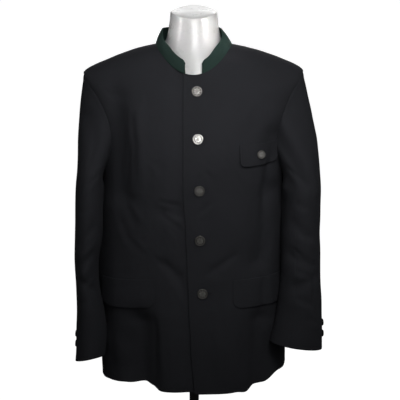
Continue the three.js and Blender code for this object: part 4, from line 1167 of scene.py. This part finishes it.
def lathe(name, profile, material, around=96):
    angle = np.linspace(0, 2 * math.pi, around, endpoint=False)
    rings = [np.array([0, 0, profile[0][1]], float)]
    for r, z in profile[1:-1]:
        rings.append(circle(r, angle, z))
    rings.append(np.array([0, 0, profile[-1][1]], float))
    return ringMesh(name, rings, material)


def rounded(corners, radius, steps=5):  # a profile's corners with a small round on each inner one
    profile = [corners[0]]
    for before, here, after in zip(corners, corners[1:], corners[2:]):
        a, b, c = (np.array(p, float) for p in (before, here, after))
        r = min(radius, 0.45 * np.linalg.norm(a - b), 0.45 * np.linalg.norm(c - b))
        start, end = b + unit(a - b) * r, b + unit(c - b) * r
        for step in range(steps + 1):
            f = step / steps
            profile.append(tuple((1 - f)**2 * start + 2 * f * (1 - f) * b + f * f * end))
    profile.append(corners[-1])
    return profile


formPiece = makeForm()
enamel = enamelMaterial()
foot, hub, radius = stand["socketFloor"], stand["hubHeight"], stand["poleRadius"]
poleFoot, poleTop, hole = foot + stand["gap"], stand["bottom"] - stand["gap"], radius + stand["gap"]
polePiece = lathe("stand_pole", rounded([(0, poleFoot), (radius, poleFoot), (radius, poleTop), (0, poleTop)],
                                        stand["poleRound"]), enamel, 64)
basePiece = lathe("stand_base", rounded([
    (0, 0), (stand["baseRadius"], 0), (stand["baseRadius"], stand["baseHeight"]),
    (stand["hubFoot"], stand["baseHeight"]), (stand["hubTop"], hub), (hole, hub), (hole, foot), (0, foot),
], stand["baseRound"]), enamel, 160)
print("stage: dress form and stand are built")


# Stitches and buttonholes, made by Geometry Nodes along lines on the cloth
thread = {"pitch": 0.0034, "length": 0.0024, "radius": 0.00026, "inset": 6.0, "sink": 0.12, "seed": 7,
          "from": 0.25, "short": 0.12, "points": 260}


def threadMaterial(name, dark, light):
    material, tree, shader = newMaterial(name, Sheen_Weight=0.02, Sheen_Roughness=0.4, Roughness=0.8)
    shader.inputs["Specular IOR Level"].default_value = 0.2
    place = objectPlace(tree)
    paint(tree, shader, "Base Color", noiseNode(tree, place, 900, 2), [(0.3, dark), (0.7, light)])
    twist = waveNode(tree, place, 900, "DIAGONAL")
    tree.links.new(bumpNode(tree, twist, 0.4, 0.0001), shader.inputs["Normal"])
    return material


blackThread = threadMaterial("black_sewing_thread", (0.0085, 0.0088, 0.0105), (0.018, 0.0185, 0.021))


def lineObject(name, lines):  # open polylines as one mesh of edges
    points, edges = [], []
    for line in lines:
        first = len(points)
        points += (np.asarray(line) * 0.001).tolist()
        edges += [(first + i, first + i + 1) for i in range(len(line) - 1)]
    mesh = bpy.data.meshes.new(name)
    mesh.from_pydata(points, edges, [])
    return addThing(name, mesh)


def join(tree, *pairs):
    for source, target in pairs:
        tree.links.new(source, target)


def startTree(name, sizes):
    tree = bpy.data.node_groups.new(name, "GeometryNodeTree")
    tree.interface.new_socket("Geometry", in_out="INPUT", socket_type="NodeSocketGeometry")
    tree.interface.new_socket("Geometry", in_out="OUTPUT", socket_type="NodeSocketGeometry")
    for key in sizes:
        tree.interface.new_socket(key, in_out="INPUT", socket_type="NodeSocketFloat")
    tree.interface.new_socket("Material", in_out="INPUT", socket_type="NodeSocketMaterial")
    return tree, tree.nodes.new("NodeGroupInput"), tree.nodes.new("NodeGroupOutput")


def endTree(tree, geometry, inputs, outputs):
    realize = tree.nodes.new("GeometryNodeRealizeInstances")
    painted = tree.nodes.new("GeometryNodeSetMaterial")
    join(tree, (geometry, realize.inputs["Geometry"]),
         (realize.outputs["Geometry"], painted.inputs["Geometry"]),
         (inputs.outputs["Material"], painted.inputs["Material"]),
         (painted.outputs["Geometry"], outputs.inputs["Geometry"]))
    return tree


def stitchTree():
    tree, inputs, outputs = startTree("running_stitch", ("Pitch", "Length", "Radius"))
    curve = tree.nodes.new("GeometryNodeMeshToCurve")
    spots = addNode(tree, "GeometryNodeCurveToPoints", mode="LENGTH")
    join(tree, (inputs.outputs["Geometry"], curve.inputs["Mesh"]),
         (curve.outputs["Curve"], spots.inputs["Curve"]), (inputs.outputs["Pitch"], spots.inputs["Length"]))
    bead = tree.nodes.new("GeometryNodeMeshUVSphere")
    bead.inputs["Segments"].default_value = 6
    bead.inputs["Rings"].default_value = 5
    bead.inputs["Radius"].default_value = 1.0
    shape = tree.nodes.new("ShaderNodeCombineXYZ")
    half = addNode(tree, "ShaderNodeMath", operation="MULTIPLY")
    half.inputs[1].default_value = 0.5
    thin = inputs.outputs["Radius"]
    join(tree, (inputs.outputs["Length"], half.inputs[0]), (thin, shape.inputs["X"]),
         (thin, shape.inputs["Y"]), (half.outputs[0], shape.inputs["Z"]))
    uneven = addNode(tree, "FunctionNodeRandomValue", data_type="FLOAT_VECTOR")
    uneven.inputs["Min"].default_value = (0.85, 0.85, 0.88)
    uneven.inputs["Max"].default_value = (1.15, 1.15, 1.06)
    uneven.inputs["Seed"].default_value = thread["seed"]
    scale = addNode(tree, "ShaderNodeVectorMath", operation="MULTIPLY")
    place = tree.nodes.new("GeometryNodeInstanceOnPoints")
    join(tree, (shape.outputs[0], scale.inputs[0]), (uneven.outputs["Value"], scale.inputs[1]),
         (spots.outputs["Points"], place.inputs["Points"]), (bead.outputs["Mesh"], place.inputs["Instance"]),
         (spots.outputs["Rotation"], place.inputs["Rotation"]),
         (scale.outputs["Vector"], place.inputs["Scale"]))
    return endTree(tree, place.outputs["Instances"], inputs, outputs)


def whipTree():
    tree, inputs, outputs = startTree("whipped_buttonhole", ("Radius",))
    curve = tree.nodes.new("GeometryNodeMeshToCurve")
    section = addNode(tree, "GeometryNodeCurvePrimitiveCircle", mode="RADIUS")
    section.inputs["Resolution"].default_value = 5
    tube = tree.nodes.new("GeometryNodeCurveToMesh")
    tube.inputs["Fill Caps"].default_value = True
    join(tree, (inputs.outputs["Geometry"], curve.inputs["Mesh"]),
         (curve.outputs["Curve"], tube.inputs["Curve"]), (inputs.outputs["Radius"], section.inputs["Radius"]),
         (section.outputs["Curve"], tube.inputs["Profile Curve"]))
    return endTree(tree, tube.outputs["Mesh"], inputs, outputs)


def runTree(name, tree, lines, values, material):
    thing = lineObject(name + "_line", lines)
    modifier = thing.modifiers.new("thread", "NODES")
    modifier.node_group = tree
    for item in tree.interface.items_tree:
        if item.item_type == "SOCKET" and item.in_out == "INPUT":
            if item.name in values:
                modifier[item.identifier] = values[item.name]
            elif item.name == "Material":
                modifier[item.identifier] = material
    bpy.context.view_layer.update()
    result = thing.evaluated_get(bpy.context.evaluated_depsgraph_get())
    mesh = bpy.data.meshes.new_from_object(result)
    mesh.name = name
    for polygon in mesh.polygons:
        polygon.use_smooth = True
    bpy.data.objects.remove(thing)
    return addThing(name, mesh)


runningStitch, whipped = stitchTree(), whipTree()
stitchValues = {"Pitch": thread["pitch"], "Length": thread["length"], "Radius": thread["radius"]}
edgeAt = np.linspace(thread["from"], hemRing - thread["short"], thread["points"])
edgeT = frontTurn(edgeX(edgeAt) + thread["inset"], edgeAt)
edgeLine = finePoint(edgeT, edgeAt) + surfaceNormal(finePoint, edgeT, edgeAt, hemRing) * thread["sink"]
frontStitches = runTree("front_edge_stitches", runningStitch, [edgeLine], stitchValues, blackThread)


def flapLine(flap):
    width = abs(flap["x1"] - flap["x0"])
    sideF, lowRow = flapLook["stitchInset"] / width, 1 - flapLook["stitchInset"] / flap["drop"]
    end = flapLook["stitchEnd"]
    rows = np.linspace(end, lowRow - flapLook["stitchTurn"], flapLook["stitchDown"])
    down = [(sideF, row) for row in rows]
    steps = np.linspace(sideF + end, 1 - end - sideF, flapLook["stitchAcross"])
    across = [(f, lowRow) for f in steps]
    up = [(1 - sideF, row) for row in rows[::-1]]
    f, row = np.array(down + across + up).T
    return flapSurface(flap, f, row, flapWall(flap, f) + thread["sink"])[0]


flapStitches = {}
for name, flap in flaps.items():
    line = [flapLine(flap)]
    flapStitches[name] = runTree(name + "_stitches", runningStitch, line, stitchValues, blackThread)

holeLook = {
    "before": 3.0, "after": 19.0, "half": 1.45, "lane": 0.5, "wires": 66, "radius": 0.00021, "lift": 0.15,
}


def buttonholeLine(spot):  # a zigzag of thread over both lips of the slot
    lines = []
    for lip in (-1, 1):
        step = np.linspace(0, 1, holeLook["wires"])
        x = spot["x"] + mix(-holeLook["before"], holeLook["after"], step)
        swing = np.where(np.arange(len(step)) % 2 == 0, holeLook["lane"] * 0.2, holeLook["half"])
        t, at = frontPlace(x, spot["z"] + lip * swing)
        lines.append(finePoint(t, at) + surfaceNormal(finePoint, t, at, hemRing) * holeLook["lift"])
    return lines


holeLines = []
for spot in frontButtons:
    holeLines += buttonholeLine(spot)
buttonholes = runTree("front_buttonholes", whipped, holeLines, {"Radius": holeLook["radius"]}, blackThread)
print("stage: stitches and buttonholes are worked")


# Every piece rides on the one body, and all but the thread stand for a solid
panels = {
    "front_left": frontLeft, "front_right": frontRight, "back": backPanel, "collar": collarPiece,
    **flapPieces,
}
for word, halves in sleevePieces.items():
    for piece, half in zip(halves, ("top", "under")):
        panels["sleeve_" + word + "_" + half] = piece
threads = [frontStitches, buttonholes] + list(flapStitches.values())
solids = {**panels, **buttons, "dress_form": formPiece, "pole": polePiece, "base": basePiece}
for node, piece in solids.items():
    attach(piece, "root")
    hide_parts(node)
for piece in threads:
    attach(piece, "root")

print("stage: pieces are placed in the frame")


# The studio: a white bowl for a floor, soft lights and the photograph's camera
studio = {"floorRadius": 9.0, "wallHeight": 12.0, "wallBend": 2.0, "bendSteps": 8, "around": 96,
          "floorRings": (0.4, 1.5, 4.0), "ceilingRings": (6.0, 1.0), "glow": 1.0, "world": 0.045}
millimetres = 1000
lamps = tableOf(("name", "place", "aim", "size", "spread", "power"), [
    ("key", (0.55, -1.45, 2.15), (0.02, -0.1, 0.84), (0.8, 0.6), 70, 2.6),
    ("chest", (0.1, -1.5, 1.35), (0.06, -0.13, 0.86), (0.5, 0.4), 40, 0.52),
    ("fill", (2.1, -1.5, 1.4), (0.0, 0.0, 0.8), (0.9, 1.1), 90, 0.9),
    ("side", (-2.2, -1.2, 1.5), (0.0, 0.0, 0.8), (0.9, 1.1), 90, 1.0),
    ("neckLeft", (-1.3, -0.5, 1.1), (-0.02, -0.03, 1.0), (0.06, 0.06), 9, 0.0132),
    ("neckRight", (1.18, -0.72, 1.1), (0.02, -0.03, 1.0), (0.06, 0.06), 9, 0.036),
    ("back", (0.3, 2.2, 1.8), (0.0, 0.0, 0.75), (1.6, 1.2), 120, 5.2),
])


def makeFloor():
    material, tree, shader = newMaterial("white_studio_floor", Roughness=0.9)
    place = objectPlace(tree)
    tone = noiseNode(tree, place, 0.8, 2)
    paint(tree, shader, "Base Color", tone, [(0.3, grey(0.20)), (0.8, grey(0.22))])
    shader.inputs["Emission Color"].default_value = (1, 1, 1, 1)
    shader.inputs["Emission Strength"].default_value = studio["glow"]
    angle = np.linspace(0, 2 * math.pi, studio["around"], endpoint=False)
    radius, bend, top = studio["floorRadius"], studio["wallBend"], studio["wallHeight"]
    profile = [(r, 0.0) for r in (*studio["floorRings"], radius)]
    for step in range(1, studio["bendSteps"] + 1):
        turn = step / studio["bendSteps"] * math.pi / 2
        profile.append((radius + bend * math.sin(turn), bend - bend * math.cos(turn)))
    profile += [(r, top) for r in (radius + bend, *studio["ceilingRings"])]
    rings = [circle(r, angle, z) * millimetres for r, z in profile]
    rings = [np.zeros(3)] + rings + [np.array([0, 0, top * millimetres])]
    floor = ringMesh("studio_floor", rings, material)
    floor.data.flip_normals()
    floor.visible_diffuse = False
    floor.visible_glossy = False
    floor.visible_shadow = False
    return floor


def softLight(look):
    name = "studio_" + look["name"]
    data = bpy.data.lights.new(name, "AREA")
    data.shape = "RECTANGLE"
    data.size, data.size_y = look["size"]
    data.spread = math.radians(look["spread"])
    data.energy = look["power"]
    light = addThing(name, data)
    light.location = look["place"]
    way = Vector(look["aim"]) - Vector(look["place"])
    light.rotation_euler = way.to_track_quat("-Z", "Y").to_euler()


makeFloor()
for lamp in lamps:
    softLight(lamp)
world = bpy.data.worlds.new("studio_room")
world.use_nodes = True
world.node_tree.nodes["Background"].inputs["Color"].default_value = (1, 1, 1, 1)
world.node_tree.nodes["Background"].inputs["Strength"].default_value = studio["world"]
bpy.context.scene.world = world
bpy.context.scene.view_settings.view_transform = "Standard"

cameraLook = {
    "distance": 3.0, "aimHeight": 0.6, "sideways": 0.0136, "down": 13.0, "focalPixels": 1324.0,
    "frame": 400.0,
}
cameraData = bpy.data.cameras.new("photo_camera")
cameraData.sensor_width = 36.0
cameraData.lens = cameraLook["focalPixels"] * cameraData.sensor_width / cameraLook["frame"]
camera = addThing("photo_camera", cameraData)
down = math.radians(cameraLook["down"])
camera.location = (cameraLook["sideways"], -cameraLook["distance"] * math.cos(down),
                   cameraLook["aimHeight"] + cameraLook["distance"] * math.sin(down))
camera.rotation_euler = (math.pi / 2 - down, 0, 0)
bpy.context.scene.camera = camera
print("stage: studio and camera are set")
